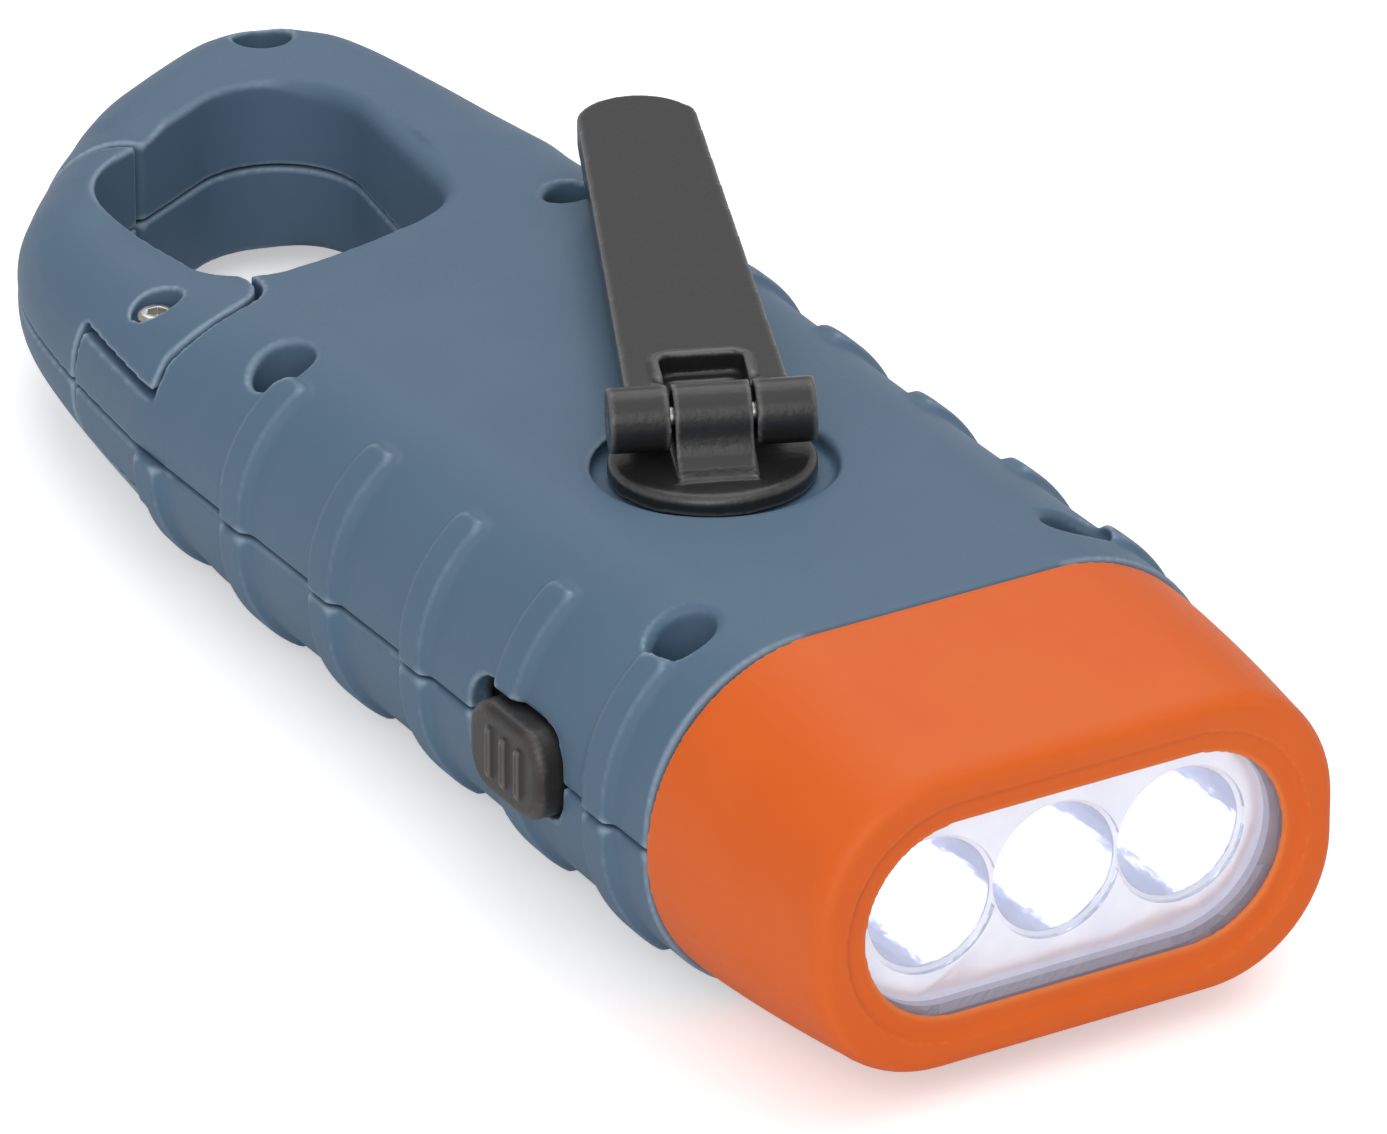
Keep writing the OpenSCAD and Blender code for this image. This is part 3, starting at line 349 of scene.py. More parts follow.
def half_shell(first, last, steps, around, ribs=0, inset=0.0, base=0.0):
    """A grid draped over the half shell from s = first to last, and closed below and at its ends."""
    bm = bmesh.new()
    bmesh.ops.create_grid(bm, x_segments=steps, y_segments=around, size=0.5)
    for v in bm.verts:
        v.co = shell_point(first + (last - first) * (v.co.x + 0.5), v.co.y + 0.5, ribs, inset, base)
    bmesh.ops.remove_doubles(bm, verts=bm.verts, dist=0.0005)
    rim = [e for e in bm.edges if e.is_boundary]
    foot = [e for e in rim if all(abs(v.co.z - base) < 0.0001 for v in e.verts)]
    ends = [e for e in rim if e not in set(foot)]
    middle = sum(v.co.x for v in bm.verts) / len(bm.verts)
    front = [e for e in ends if e.verts[0].co.x > middle]
    tail = [e for e in ends if e.verts[0].co.x <= middle]
    for end in (front, tail):
        corners = {v for e in end for v in e.verts if abs(v.co.z - base) < 0.0001}
        if len(corners) == 2:
            sill = bm.edges.new(tuple(corners))
            bmesh.ops.triangle_fill(bm, use_beauty=True, edges=end + [sill])
            foot.append(sill)
    bmesh.ops.triangle_fill(bm, use_beauty=True, edges=foot)
    bmesh.ops.recalc_face_normals(bm, faces=bm.faces)
    return bm


# The discs round which the eye is drawn: centre and radius
EYE = (((-129.0, 5.0), 7.3), ((-112.95, 2.5), 7.5), ((-108.45, -9.0), 5.0), ((-121.95, -5.0), 9.0))


def facing_out(count):
    """Directions evenly round a circle."""
    return [Vector((math.cos(math.tau * k / count), math.sin(math.tau * k / count))) for k in range(count)]


def eye_rim():
    """Outline of the ring's eye, a band stretched round four discs."""
    rim = []
    for n in facing_out(120):
        centre, r = max(EYE, key=lambda e: Vector(e[0]).dot(n) + e[1])
        rim.append(Vector(centre) + n * r)
    return rim


def lofted(rings):
    """A solid through closed rings of equally many points."""
    bm = bmesh.new()
    loops = []
    for ring in rings:
        verts = [bm.verts.new(p) for p in ring]
        loops.append([bm.edges.new((verts[k - 1], verts[k])) for k in range(len(verts))])
    for low, high in zip(loops, loops[1:]):
        bmesh.ops.bridge_loops(bm, edges=low + high)
    bmesh.ops.triangle_fill(bm, use_beauty=True, edges=loops[0])
    bmesh.ops.triangle_fill(bm, use_beauty=True, edges=loops[-1])
    bmesh.ops.recalc_face_normals(bm, faces=bm.faces)
    return bm


def skin_height(x, y):
    """Height of the finished outside at a place in plan, away from the tail's outer edge."""
    if x < -TAIL[0][0] * LENGTH:
        return top_height(x, y)
    h = body_height(x)
    r = h * step_to(CORNER, -x / LENGTH)
    out = max(0.0, abs(y) - HALF_WIDTH * step_to(SIDE, -x / LENGTH) + r)
    return min(h - r + math.sqrt(max(0.0, r * r - out * out)), top_height(x, y))


def flared(rim, rounds, low):
    """A cutter through pairs of point and outward direction, flared by a quarter round at the skin."""
    rings = [[(p.x, p.y, low) for p, n in rim], *([] for i in range(11))]
    for (p, n), r in zip(rim, rounds):
        top = skin_height(*(p + n * r))
        for i in range(10):
            q = p + n * r * (1 - math.cos(math.radians(10 * i)))
            rings[i + 1].append((q.x, q.y, top - r * (1 - math.sin(math.radians(10 * i)))))
        rings[11].append((p.x + n.x * r, p.y + n.y * r, 30))
    return as_object(lofted(rings), "flared_tool")


def eye_tool():
    """The eye's cutter: its rim is widely rounded at the far side and closely elsewhere."""
    ways = facing_out(120)
    return flared(list(zip(eye_rim(), ways)), [0.5 + 1.2 * ease(1.7 * n.y - 0.5) for n in ways], -1)


def round_tool(centre, r, flare, low):
    """A round cutter from a floor upwards, with a rounded rim."""
    return flared([(Vector(centre) + n * r, n) for n in facing_out(64)], [flare] * 64, low)


def rod(r, z0, z1, x=0.0, y=0.0, sides=64, frame_of=Matrix.Identity(4)):
    """An upright round bar."""
    bm = bmesh.new()
    bmesh.ops.create_cone(bm, cap_ends=True, segments=sides, radius1=r, radius2=r, depth=z1 - z0,
                          matrix=Matrix.Translation((x, y, (z0 + z1) / 2)))
    bm.transform(frame_of)
    return bm


def prism(outline, z0, z1):
    """A flat outline given thickness along Z."""
    bm = bmesh.new()
    face = bm.faces.new([bm.verts.new((p[0], p[1], z0)) for p in outline])
    top = bmesh.ops.extrude_face_region(bm, geom=[face])["geom"]
    bmesh.ops.translate(bm, vec=(0, 0, z1 - z0), verts=[g for g in top if isinstance(g, bmesh.types.BMVert)])
    bmesh.ops.recalc_face_normals(bm, faces=bm.faces)
    return bm


def arc(c, r, a0, a1, n):
    """Points on an arc, in degrees."""
    return [Vector(c) + r * Vector((math.cos(math.radians(a0 + (a1 - a0) * i / n)),
                                    math.sin(math.radians(a0 + (a1 - a0) * i / n)))) for i in range(n + 1)]


# The gate's pivot, nose and reach, its play, and the tongue of the housing between its two halves
PIVOT = Vector((-104.0, -19.5))
NOSE_R, REACH, GAP, TONGUE_H, TONGUE_R = 7.6, 30.5, 0.6, 4.3, 5.3


def gate_outline(grow):
    """The gate in plan, grown by its play."""
    r = NOSE_R + grow
    flank = PIVOT + r * Vector((math.cos(math.radians(-22)), math.sin(math.radians(-22))))
    return (arc(PIVOT, r, 110, -22, 33)
            + [flank + Vector((TONGUE_R / 2, -2 * TONGUE_R)), flank - Vector((REACH / 2, REACH / 2))]
            + arc(PIVOT, REACH + grow, 196, 146, 30)
            + [Vector((-121.95, 0)), PIVOT + Vector((-NOSE_R, 2 * NOSE_R))])


def tongue_outline(grow, opened):
    """The tongue in plan, grown by its play and swept by some degrees."""
    r = TONGUE_R + grow
    a = math.radians(90 + opened)
    return ([PIVOT + Vector((-r, -2 * NOSE_R))] + arc(PIVOT, r, 180, 90 + opened, 20)
            + [PIVOT + 2 * NOSE_R * Vector((math.cos(a), math.sin(a))),
               PIVOT + Vector((2 * NOSE_R, 2 * NOSE_R)), PIVOT + Vector((2 * NOSE_R, -2 * NOSE_R))])


WELLS = ((-85.5, -18.5), (-100.65, 16.0), (-28.35, -16.8), (-28.35, 16.8), (-144.0, 12.1))
WELL_R, WELL_FLARE, WELL_FLOOR, PILOT_R, BOSS_R = 2.4, 0.55, 3.2, 1.16, 3.6
HUB_AT = (-50, -1.2)
HUB = Matrix.Translation((*HUB_AT, 0)) @ Matrix.Rotation(-TILT, 4, "Y")
CRANK_TOP = shell_height(HUB_AT[0]) * math.cos(TILT)
RIM_R, RIM_FLARE, RIM_FOOT = 9.25, 0.7, 12.4
RECESS_R, RECESS_DEPTH, BUSH_R = 9.3, 1.4, 3.56
COLLAR_R, COLLAR_L, BUSH_BOSS_R, BUSH_BOSS_L = 10.4, 2.8, 5.5, 5
PIN_HOLE_R, FAR = 1.26, 40
# Front end, back end, half height and corner radius of the switch's opening
OPENING = (-32.8, -46.5, 4.0, 3.1)


def button_outline(x0, x1, z, r):
    """A rounded rectangle seen from the side."""
    return (arc((x0 - r, z - r), r, 0, 90, 8) + arc((x1 + r, z - r), r, 90, 180, 8)
            + arc((x1 + r, r - z), r, 180, 270, 8) + arc((x0 - r, r - z), r, 270, 360, 8))


def button_solid(x0, x1, z, r, y0, y1):
    """That rectangle as a block through the switch side."""
    bm = prism(button_outline(x0, x1, z, r), y0, y1)
    bm.transform(Matrix.Rotation(math.radians(90), 4, "X"))
    bmesh.ops.recalc_face_normals(bm, faces=bm.faces)
    return bm


def turned_over(piece):
    """The same shape on the other side of the parting plane."""
    piece.data.transform(Matrix.Diagonal((1, 1, -1, 1)))
    piece.data.flip_normals()
    return piece


def housing_half(ribs, upper):
    """One half of the housing, cut and hollowed; the upper one holds the wells and the crank's recess."""
    piece = as_object(half_shell(0, 2 + TAIL_END, steps=520, around=150, ribs=ribs, base=SEAM), "half")
    melt(piece, grain=0.3, rounds=0)
    gate = as_object(prism(gate_outline(GAP), -1, FAR), "gate_tool")
    combine(gate, [as_object(prism(tongue_outline(0, 0), -2, TONGUE_H), "tongue_tool")], "DIFFERENCE")
    tools = [eye_tool(), gate, as_object(rod(PIN_HOLE_R, -30, 30, *PIVOT), "pivot_tool"),
             as_object(button_solid(*OPENING, 19, 28), "button_tool")]
    if upper:
        for spot in WELLS:
            tools += [round_tool(spot, WELL_R, WELL_FLARE, WELL_FLOOR),
                      as_object(rod(PILOT_R, -3, 4, *spot), "pilot_tool")]
        tools += [round_tool(HUB_AT, RIM_R, RIM_FLARE, RIM_FOOT),
                  as_object(rod(RECESS_R, CRANK_TOP - RECESS_DEPTH, 13, frame_of=HUB), "recess_tool"),
                  as_object(rod(BUSH_R, -5, FAR, frame_of=HUB), "bush_tool")]
    combine(piece, tools, "DIFFERENCE")
    melt(piece, grain=0.25, rounds=5, share=0.37)
    hollow = as_object(half_shell(0.012, 0.98, steps=24, around=40, inset=WALL, base=-1.0), "hollow_tool")
    bosses = [rod(BOSS_R, -3, FAR, x, y) for x, y in WELLS]
    if upper:
        bosses += [rod(COLLAR_R, CRANK_TOP - COLLAR_L, FAR, frame_of=HUB),
                   rod(BUSH_BOSS_R, CRANK_TOP - BUSH_BOSS_L, FAR, frame_of=HUB)]
    combine(hollow, [as_object(boss, "boss") for boss in bosses], "DIFFERENCE")
    combine(piece, [hollow], "DIFFERENCE")
    return piece


place(housing_half(5, True), "housing_top", "housing", housing_abs, ["top_shell"])
place(turned_over(housing_half(6, False)), "housing_bottom", "housing", housing_abs,
      ["bottom_shell"])


# The snap gate
# Two mouldings of the same blue ABS that close the ring. They straddle a tongue of the housing
# and swing inwards together on the pivot screw, against a coil spring.
HEAD_Z = top_height(*PIVOT) - 3.1
# The slot for the tongue is swept by the gate's travel of 22 degrees and some play.
SLOT_SWEEP, PIN_R, HEAD_WELL_R = 28, 1.2, 2.0


def gate_half(upper):
    """One half of the gate, with the slot for the tongue and, in the upper one, the screw head's well."""
    piece = as_object(half_shell(0.91, 2 + TAIL_END, steps=250, around=90, base=SEAM), "half")
    melt(piece, grain=0.28, rounds=0)
    combine(piece, [as_object(prism(gate_outline(0), -1, FAR), "gate_plan")], "INTERSECT")
    tools = [eye_tool(), as_object(prism(tongue_outline(GAP, SLOT_SWEEP), -2, TONGUE_H + GAP), "slot_tool"),
             as_object(rod(PIN_R, -30, 30, *PIVOT), "pivot_tool")]
    if upper:
        tools.append(as_object(rod(HEAD_WELL_R, HEAD_Z, 30, *PIVOT), "head_tool"))
    combine(piece, tools, "DIFFERENCE")
    melt(piece, grain=0.22, rounds=7)
    return piece


place(gate_half(True), "gate_top", "gate", housing_abs, ["gate_upper"])
place(turned_over(gate_half(False)), "gate_bottom", "gate", housing_abs, ["gate_lower"])


# The pivot screw
# A zinc-plated steel button-head screw, sunk in the upper half of the gate, with a hex socket.
# It is turned from bar, and its head's rim is rounded.
def metal(name, tones, roughness, grain_mm):
    """Bare or plated metal: tone patches of about 3 mm, and a fine unevenness in its gloss."""
    material = blank_material(name)
    tree = material.node_tree
    where = add(tree, "ShaderNodeTexCoord").outputs["Object"]
    cloud = add(tree, "ShaderNodeTexNoise", {"Vector": where, "Scale": 350.0, "Detail": 3.0})
    tint = add(tree, "ShaderNodeMix", {0: cloud.outputs["Fac"], 6: rgb(tones[0]), 7: rgb(tones[1])},
               data_type="RGBA")
    fine = add(tree, "ShaderNodeTexNoise", {"Vector": where, "Scale": 1000.0 / grain_mm, "Detail": 1.0})
    gloss = add(tree, "ShaderNodeMapRange", {"Value": fine.outputs["Fac"], "To Min": roughness - 0.08,
                                             "To Max": roughness + 0.1})
    skin = add(tree, "ShaderNodeBsdfPrincipled", {"Base Color": tint.outputs[2], "Metallic": 1.0,
                                                  "Roughness": gloss.outputs[0]})
    add(tree, "ShaderNodeOutputMaterial", {"Surface": skin.outputs[0]})
    return material


# Zinc-plated steel: a bright, slightly warm grey with soft blurred reflections.
zinc_steel = metal("zinc_steel", tones=("#b9b6b0", "#dad8d3"), roughness=0.3, grain_mm=0.3)
HEAD_R, HEAD_H, SOCKET_R = 1.6, 1.15, 0.8
pin = as_object(rod(PIN_R, -6.5, HEAD_Z + 0.2, *PIVOT), "pin")
head = rod(HEAD_R, HEAD_Z, HEAD_Z + HEAD_H, *PIVOT)
crown = [e for e in head.edges if all(v.co.z > HEAD_Z + 1 for v in e.verts)]
bmesh.ops.bevel(head, geom=crown, offset=0.5, segments=5, profile=0.5, affect="EDGES", material=-1,
                clamp_overlap=True)
combine(pin, [as_object(head, "head")], "UNION")
combine(pin, [as_object(rod(SOCKET_R, HEAD_Z + 0.45, HEAD_Z + 3, *PIVOT, sides=6), "socket")], "DIFFERENCE")
edge = pin.modifiers.new("edge", "BEVEL")
edge.width, edge.segments, edge.limit_method, edge.angle_limit = 0.05, 2, "ANGLE", math.radians(50)
baked(pin)
place(pin, "pivot_screw", "gate", zinc_steel, ["gate_pivot"])


# The lamp bezel
# One orange ABS moulding that plugs into the housing with a thin spigot. A shallow step runs
# round its window, and its long edges turn from round at the back to softly squared at the face.

# The same grained ABS in orange: a deep tone with an even, soft shine, and a paler highlight painted on its
# rounded edges. Its grain is drawn at 0.4 mm.
bezel_abs = moulded_plastic("bezel_abs", tones=("#df5e1b", "#e36a23"), roughness=0.5, grain_mm=0.4,
                            depth=0.12, edge=("#f09255", 0.5), specular=0.25)
BEZEL_L, EDGE = 20.6, 2.4
# Half width, half height and corner radius at the back, what they lose on the way, and at the face
BACK, LOSS, FACE = (24.7, 14.5, 14.499), (2.2, 2.1, 3.7), (22.5, 12.4, 10.8)
# Widths and heights of the step, the window and the pocket behind it
STEP, WINDOW, POCKET = (39.6, 19.6), (35.8, 15.8), (38.7, 18.7)
# The spigot and its bore: half width, half height and corner radius, and where they begin and end
SPIGOT, SPIGOT_ENDS = (22.65, 12.45, 12.449), (-24.4, -19.6)
BORE, BORE_ENDS = (21.5, 11.2, 11.199), (-25.4, -17.4)


def rounded_loop(x, w, h, r, steps=14):
    """A rounded rectangle of half width w and half height h, square to X."""
    ring = []
    for quarter, (sy, sz) in enumerate(((1, 1), (-1, 1), (-1, -1), (1, -1))):
        for i in range(steps + 1):
            a = math.radians(90 * (quarter + i / steps))
            ring.append((x, sy * (w - r) + r * math.cos(a), sz * (h - r) + r * math.sin(a)))
    return ring


def stadium(w, h, x0, x1, steps=32):
    """A solid with straight long sides and round ends, from x0 to x1."""
    bm = prism([(q[1], q[2]) for q in rounded_loop(0, w / 2, h / 2, h / 2 - 0.001, steps)], x0, x1)
    bm.transform(Matrix(((0, 0, 1, 0), (1, 0, 0, 0), (0, 1, 0, 0), (0, 0, 0, 1))))
    bmesh.ops.recalc_face_normals(bm, faces=bm.faces)
    return bm


rings = []
for i in range(25):
    f = i / 24
    rings.append(rounded_loop(-BEZEL_L + (BEZEL_L - EDGE) * f, BACK[0] - LOSS[0] * f ** 1.39,
                              BACK[1] - LOSS[1] * f ** 1.39, BACK[2] - LOSS[2] * f ** 1.22))
for i in range(1, 9):
    a = math.radians(90 * i / 8)
    inset = EDGE / 2 * (1 - math.cos(a))
    rings.append(rounded_loop(-EDGE * (1 - math.sin(a)), *[size - inset for size in FACE]))
bezel = as_object(lofted(rings), "bezel")
combine(bezel, [as_object(stadium(*STEP, -0.42, 2), "step_tool"),
                as_object(stadium(*WINDOW, -3, 2), "window_tool"),
                as_object(stadium(*POCKET, -30, -1), "pocket_tool")], "DIFFERENCE")
melt(bezel, grain=0.27, rounds=4)
spigot = as_object(lofted([rounded_loop(x, *SPIGOT) for x in SPIGOT_ENDS]), "spigot")
combine(bezel, [spigot], "UNION")
bore = as_object(lofted([rounded_loop(x, *BORE) for x in BORE_ENDS]), "bore")
combine(bezel, [bore], "DIFFERENCE")
place(bezel, "lamp_bezel", "housing", bezel_abs, ["bezel"])


# The reflector and its three lamps
# A vacuum-metallised ABS block with three cups, each round the clear dome of a white lamp.
# The cups overlap a little, so their rims meet in two short ridges.
def mirror_finish(name, tone, roughness, painted_glow):
    """A thin bright metal coat, uneven over about 2 mm, with a painted glow that stands in for the lamps'
    light on it.
    """
    material = blank_material(name)
    tree = material.node_tree
    where = add(tree, "ShaderNodeTexCoord").outputs["Object"]
    waves = add(tree, "ShaderNodeTexNoise", {"Vector": where, "Scale": 420.0, "Detail": 2.0})
    tint = add(tree, "ShaderNodeMix", {0: waves.outputs["Fac"], 6: rgb(tone), 7: rgb("#ffffff")},
               data_type="RGBA")
    relief = add(tree, "ShaderNodeBump", {"Height": waves.outputs["Fac"], "Strength": 0.35,
                                          "Distance": 0.0003})
    skin = add(tree, "ShaderNodeBsdfPrincipled", {"Base Color": tint.outputs[2], "Metallic": 0.85,
                                                  "Roughness": roughness, "Normal": relief.outputs[0],
                                                  "Emission Color": rgb("#eef1ff"),
                                                  "Emission Strength": painted_glow})
    add(tree, "ShaderNodeOutputMaterial", {"Surface": skin.outputs[0]})
    return material


# The face between the cups is a duller mirror with a stronger painted glow for the lamps' light flooding it;
# inside the cups it is clear, with a faint one.
mirror_plate = mirror_finish("metallised_abs", "#dcdeec", roughness=0.34, painted_glow=0.27)
mirror_cups = mirror_finish("metallised_cup", "#bfc5dd", roughness=0.1, painted_glow=0.06)
PLATE_X, PLATE_L, PITCH, CUP_R, NECK_R = -3.2, 11.6, 10.7, 5.2, 2.8
PLATE, NECK_L, LAMP_R, LAMP_L = (38.6, 18.6), 2.4, 2.5, 5.1
BACK_X = PLATE_X - PLATE_L


def turned(profile, y, steps=96):
    """A solid of revolution about the lamp axis at y; the profile gives pairs of radius and x."""
    bm = bmesh.new()
    verts = [bm.verts.new((x, r, 0)) for r, x in profile]
    edges = [bm.edges.new(pair) for pair in zip(verts, verts[1:])]
    bmesh.ops.spin(bm, geom=verts + edges, axis=(1, 0, 0), cent=(0, 0, 0), angle=math.tau, steps=steps,
                   use_merge=True)
    bmesh.ops.remove_doubles(bm, verts=bm.verts, dist=0.0005)
    bmesh.ops.translate(bm, vec=(0, y, 0), verts=bm.verts)
    bmesh.ops.recalc_face_normals(bm, faces=bm.faces)
    return bm


cup = [(0, BACK_X - 1), (NECK_R, BACK_X - 1), (NECK_R, BACK_X + NECK_L)]
cup += [(NECK_R + (CUP_R - NECK_R) * math.sqrt(i / 24), BACK_X + NECK_L + (PLATE_L - 2.9) * i / 24)
        for i in range(1, 25)]
cup += [(CUP_R + 0.35, PLATE_X - 0.4), (CUP_R + 0.45, PLATE_X + 1), (0, PLATE_X + 1)]
reflector = as_object(stadium(*PLATE, BACK_X, PLATE_X), "reflector")
combine(reflector, [as_object(turned(cup, y), "cup_tool") for y in (-PITCH, 0, PITCH)], "DIFFERENCE")
bevel = reflector.modifiers.new("rims", "BEVEL")
bevel.width, bevel.segments, bevel.limit_method, bevel.angle_limit = 0.12, 2, "ANGLE", math.radians(40)
baked(reflector)
place(reflector, "reflector_block", "housing", mirror_plate, ["reflector"])
reflector.data.materials.append(mirror_cups)
for face in reflector.data.polygons:
    face.material_index = 1 if abs(face.normal.x) < 0.93 and abs(face.center.y) < 0.0162 else 0

# Clear epoxy domes over lit lamps: bluish white, bright and glossy, and uneven over about 2 mm.
lamp_resin = blank_material("lamp_resin")
tree = lamp_resin.node_tree
where = add(tree, "ShaderNodeTexCoord").outputs["Object"]
speck = add(tree, "ShaderNodeTexNoise", {"Vector": where, "Scale": 500.0, "Detail": 2.0})
warmth = add(tree, "ShaderNodeMix", {0: speck.outputs["Fac"], 6: rgb("#dfe6ff"), 7: rgb("#ffffff")},
             data_type="RGBA")
glass = add(tree, "ShaderNodeBsdfPrincipled", {"Base Color": warmth.outputs[2], "Roughness": 0.08,
                                               "IOR": 1.53, "Emission Color": rgb("#f4f6ff"),
                                               "Emission Strength": 1.7})
add(tree, "ShaderNodeOutputMaterial", {"Surface": glass.outputs[0]})
dome = [(0, BACK_X), (LAMP_R, BACK_X), (LAMP_R, BACK_X + LAMP_L)]
dome += [(LAMP_R * math.cos(math.radians(6 * i)), BACK_X + LAMP_L + LAMP_R * math.sin(math.radians(6 * i)))
         for i in range(1, 16)]


def gathered(solids, name):
    """One object of several closed solids."""
    whole = bmesh.new()
    for solid in solids:
        part = bpy.data.meshes.new("part")
        solid.to_mesh(part)
        solid.free()
        whole.from_mesh(part)
        bpy.data.meshes.remove(part)
    return as_object(whole, name)


lamps = gathered([turned(dome, y, 48) for y in (-PITCH, 0, PITCH)], "lamps")
place(lamps, "lamp_domes", "housing", lamp_resin, ["leds"])


# The window
# A flat clear acrylic pane behind the bezel's lip, on a thin seal of milky silicone. Both are the
# CAD's own parts, given their finish here.

# Polished acrylic is almost clear and reflects sharply; faint wiping marks of about 11 mm dull it.
window_acrylic = blank_material("window_acrylic")
tree = window_acrylic.node_tree
where = add(tree, "ShaderNodeTexCoord").outputs["Object"]
haze = add(tree, "ShaderNodeTexNoise", {"Vector": where, "Scale": 90.0, "Detail": 3.0})
rub = add(tree, "ShaderNodeMapRange", {"Value": haze.outputs["Fac"], "To Min": 0.02, "To Max": 0.07})
pane = add(tree, "ShaderNodeBsdfPrincipled", {"Base Color": rgb("#e9ecf8"), "Roughness": rub.outputs[0],
                                              "IOR": 1.49, "Alpha": 0.13})
add(tree, "ShaderNodeOutputMaterial", {"Surface": pane.outputs[0]})


def dress(nodes, material):
    """Gives CAD parts their finish."""
    for node in nodes:
        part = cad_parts[node]
        for k in range(len(part.material_slots)):
            part.material_slots[k].material = material


dress(["lens"], window_acrylic)
# Milky silicone scatters the lamps' light, so it reads as a soft grey-violet line round the pane.
# Its faint grain is drawn at 0.5 mm, coarser than it is.
dress(["lens_seal"],
      moulded_plastic("seal_silicone", tones=("#a19fb2", "#b7b6c6"), roughness=0.35, grain_mm=0.5,
                      depth=0.1, edge=("#d2d2df", 0.3)))


# The crank
# A glass-filled nylon disc that turns in its recess, with one knuckle that flares into it, and
# a flat tapered arm of the same nylon that folds on a steel pin through three knuckles.

# Glass-filled nylon is near black with a leathery grain, a broad gloss and a greyer highlight painted on its
# edges. The grain of about 0.2 mm is drawn at 0.55 mm, so that it shows.
crank_nylon = moulded_plastic("crank_nylon", tones=("#1e1e1e", "#272626"), roughness=0.3, grain_mm=0.55,
                              depth=0.3, edge=("#757474", 0.6))
FOLDED, HINGE_UP = math.radians(155.5), 3.7
AT_HINGE = HUB @ Matrix.Rotation(FOLDED, 4, "Z") @ Matrix.Translation((0, 0, CRANK_TOP + HINGE_UP))
ARM_L, ARM_W, TIP_W, ARM_T, KNUCKLE_R, KNUCKLE_W, HINGE_L = 58.0, 12.6, 9.6, 2.6, 2.5, 5.9, 15.7
KNUCKLE_GAP, DISC_R, DISC_FLAT, SHAFT_R, SHAFT_Z, SCREW_R = 0.3, 7.95, 7.1, 2.5, 5.7, 1.15
UPRIGHT = Matrix(((0, 0, 1, 0), (0, 1, 0, 0), (-1, 0, 0, 0), (0, 0, 0, 1)))


def knuckle(r, y0, y1):
    """A round bar along the hinge."""
    return rod(r, y0, y1, sides=72, frame_of=AT_HINGE @ Matrix.Rotation(math.radians(-90), 4, "X"))


def in_frame(bm, matrix):
    """A solid laid in another frame, with its faces outwards."""
    bm.transform(matrix)
    bmesh.ops.recalc_face_normals(bm, faces=bm.faces)
    return bm


# The disc's profile: its side, a rounded rim, and a face that rises a little to the middle
foot = CRANK_TOP - 1.1
disc = [(0, foot), (DISC_R, foot), (DISC_R, foot + 1.0)]
disc += [(DISC_FLAT + 0.85 * math.cos(math.radians(15 * i)),
          foot + 1.0 + 0.6 * math.sin(math.radians(15 * i))) for i in range(1, 6)]
disc += [(DISC_FLAT * (1 - i / 10), foot + 1.6 + 0.25 * math.sin(math.radians(9 * i))) for i in range(11)]
hub = as_object(in_frame(turned(disc, 0), HUB @ UPRIGHT.inverted()), "hub")
flare = [(KNUCKLE_R * math.cos(math.radians(a)), KNUCKLE_R * math.sin(math.radians(a)))
         for a in range(0, 181, 6)]
flare += [(-2.55, -0.7), (-2.75, -1.4), (-3.2, -2.1), (-3.9, -2.6), (-5.1, -2.95), (-5.1, -3.9), (1.4, -3.9),
          (1.6, -1.9)]
block = in_frame(prism(flare, -KNUCKLE_W / 2, KNUCKLE_W / 2),
                 AT_HINGE @ Matrix.Rotation(math.radians(90), 4, "X"))
combine(hub, [as_object(block, "flare")], "UNION")
melt(hub, grain=0.16, rounds=4)
combine(hub, [as_object(rod(SHAFT_R, SHAFT_Z, CRANK_TOP - 0.6, frame_of=HUB), "shaft")], "UNION")
combine(hub, [as_object(knuckle(0.86, -9, 9), "pin_tool"),
              as_object(rod(SCREW_R, 4.7, 10.7, frame_of=HUB), "screw_tool")], "DIFFERENCE")
place(hub, "crank_disc", "crank", crank_nylon, ["crank_hub"])

# The arm is a flat bar, notched behind the middle knuckle, with a raised lip round the notch and a
# ledge inside it. Its solids overlap, and the melt makes them one.
tip = arc((ARM_L - TIP_W / 2, 0), TIP_W / 2, -80, 80, 32)


def notch_line(length, half, r):
    """The notch's edge in plan, from the hinge round its inner end and back."""
    return ([Vector((0, -half))] + arc((length - r, r - half), r, -90, 0, 6)
            + arc((length - r, half - r), r, 0, 90, 6) + [Vector((0, half))])


# The notch above the ledge, its narrower part through the ledge, and the outside of the lip round
# it: length, half width and corner radius
NOTCH, LEDGE, LIP, LIP_START = (7.8, 3.2, 1.0), (6.7, 2.6, 0.6), (8.7, 3.9, 1.7), 3.4
blade = [(0, -ARM_W / 2)] + tip + [(0, ARM_W / 2)]
lip = (notch_line(*LIP)[1:-1] + [Vector((LIP_START, LIP[1])), Vector((LIP_START, NOTCH[1]))]
       + notch_line(*NOTCH)[1:-1][::-1] + [Vector((LIP_START, -NOTCH[1])), Vector((LIP_START, -LIP[1]))])
solids = [prism(blade + notch_line(*NOTCH)[::-1], -0.3, ARM_T / 2),
          prism(blade + notch_line(*LEDGE)[::-1], -ARM_T / 2, -0.2), prism(lip, -0.4, ARM_T / 2 + 0.4)]
solids = [in_frame(solid, AT_HINGE) for solid in solids]
rail = (HINGE_L - KNUCKLE_W) / 2 - KNUCKLE_GAP
for side in (-1, 1):
    centre = side * (KNUCKLE_W / 2 + KNUCKLE_GAP + rail / 2)
    solids.append(knuckle(KNUCKLE_R, centre - rail / 2, centre + rail / 2))
arm = gathered(solids, "arm")
melt(arm, grain=0.2, rounds=6)
combine(arm, [as_object(knuckle(0.8, -9, 9), "pin_tool")], "DIFFERENCE")
place(arm, "crank_lever", "arm", crank_nylon, ["crank_arm"])
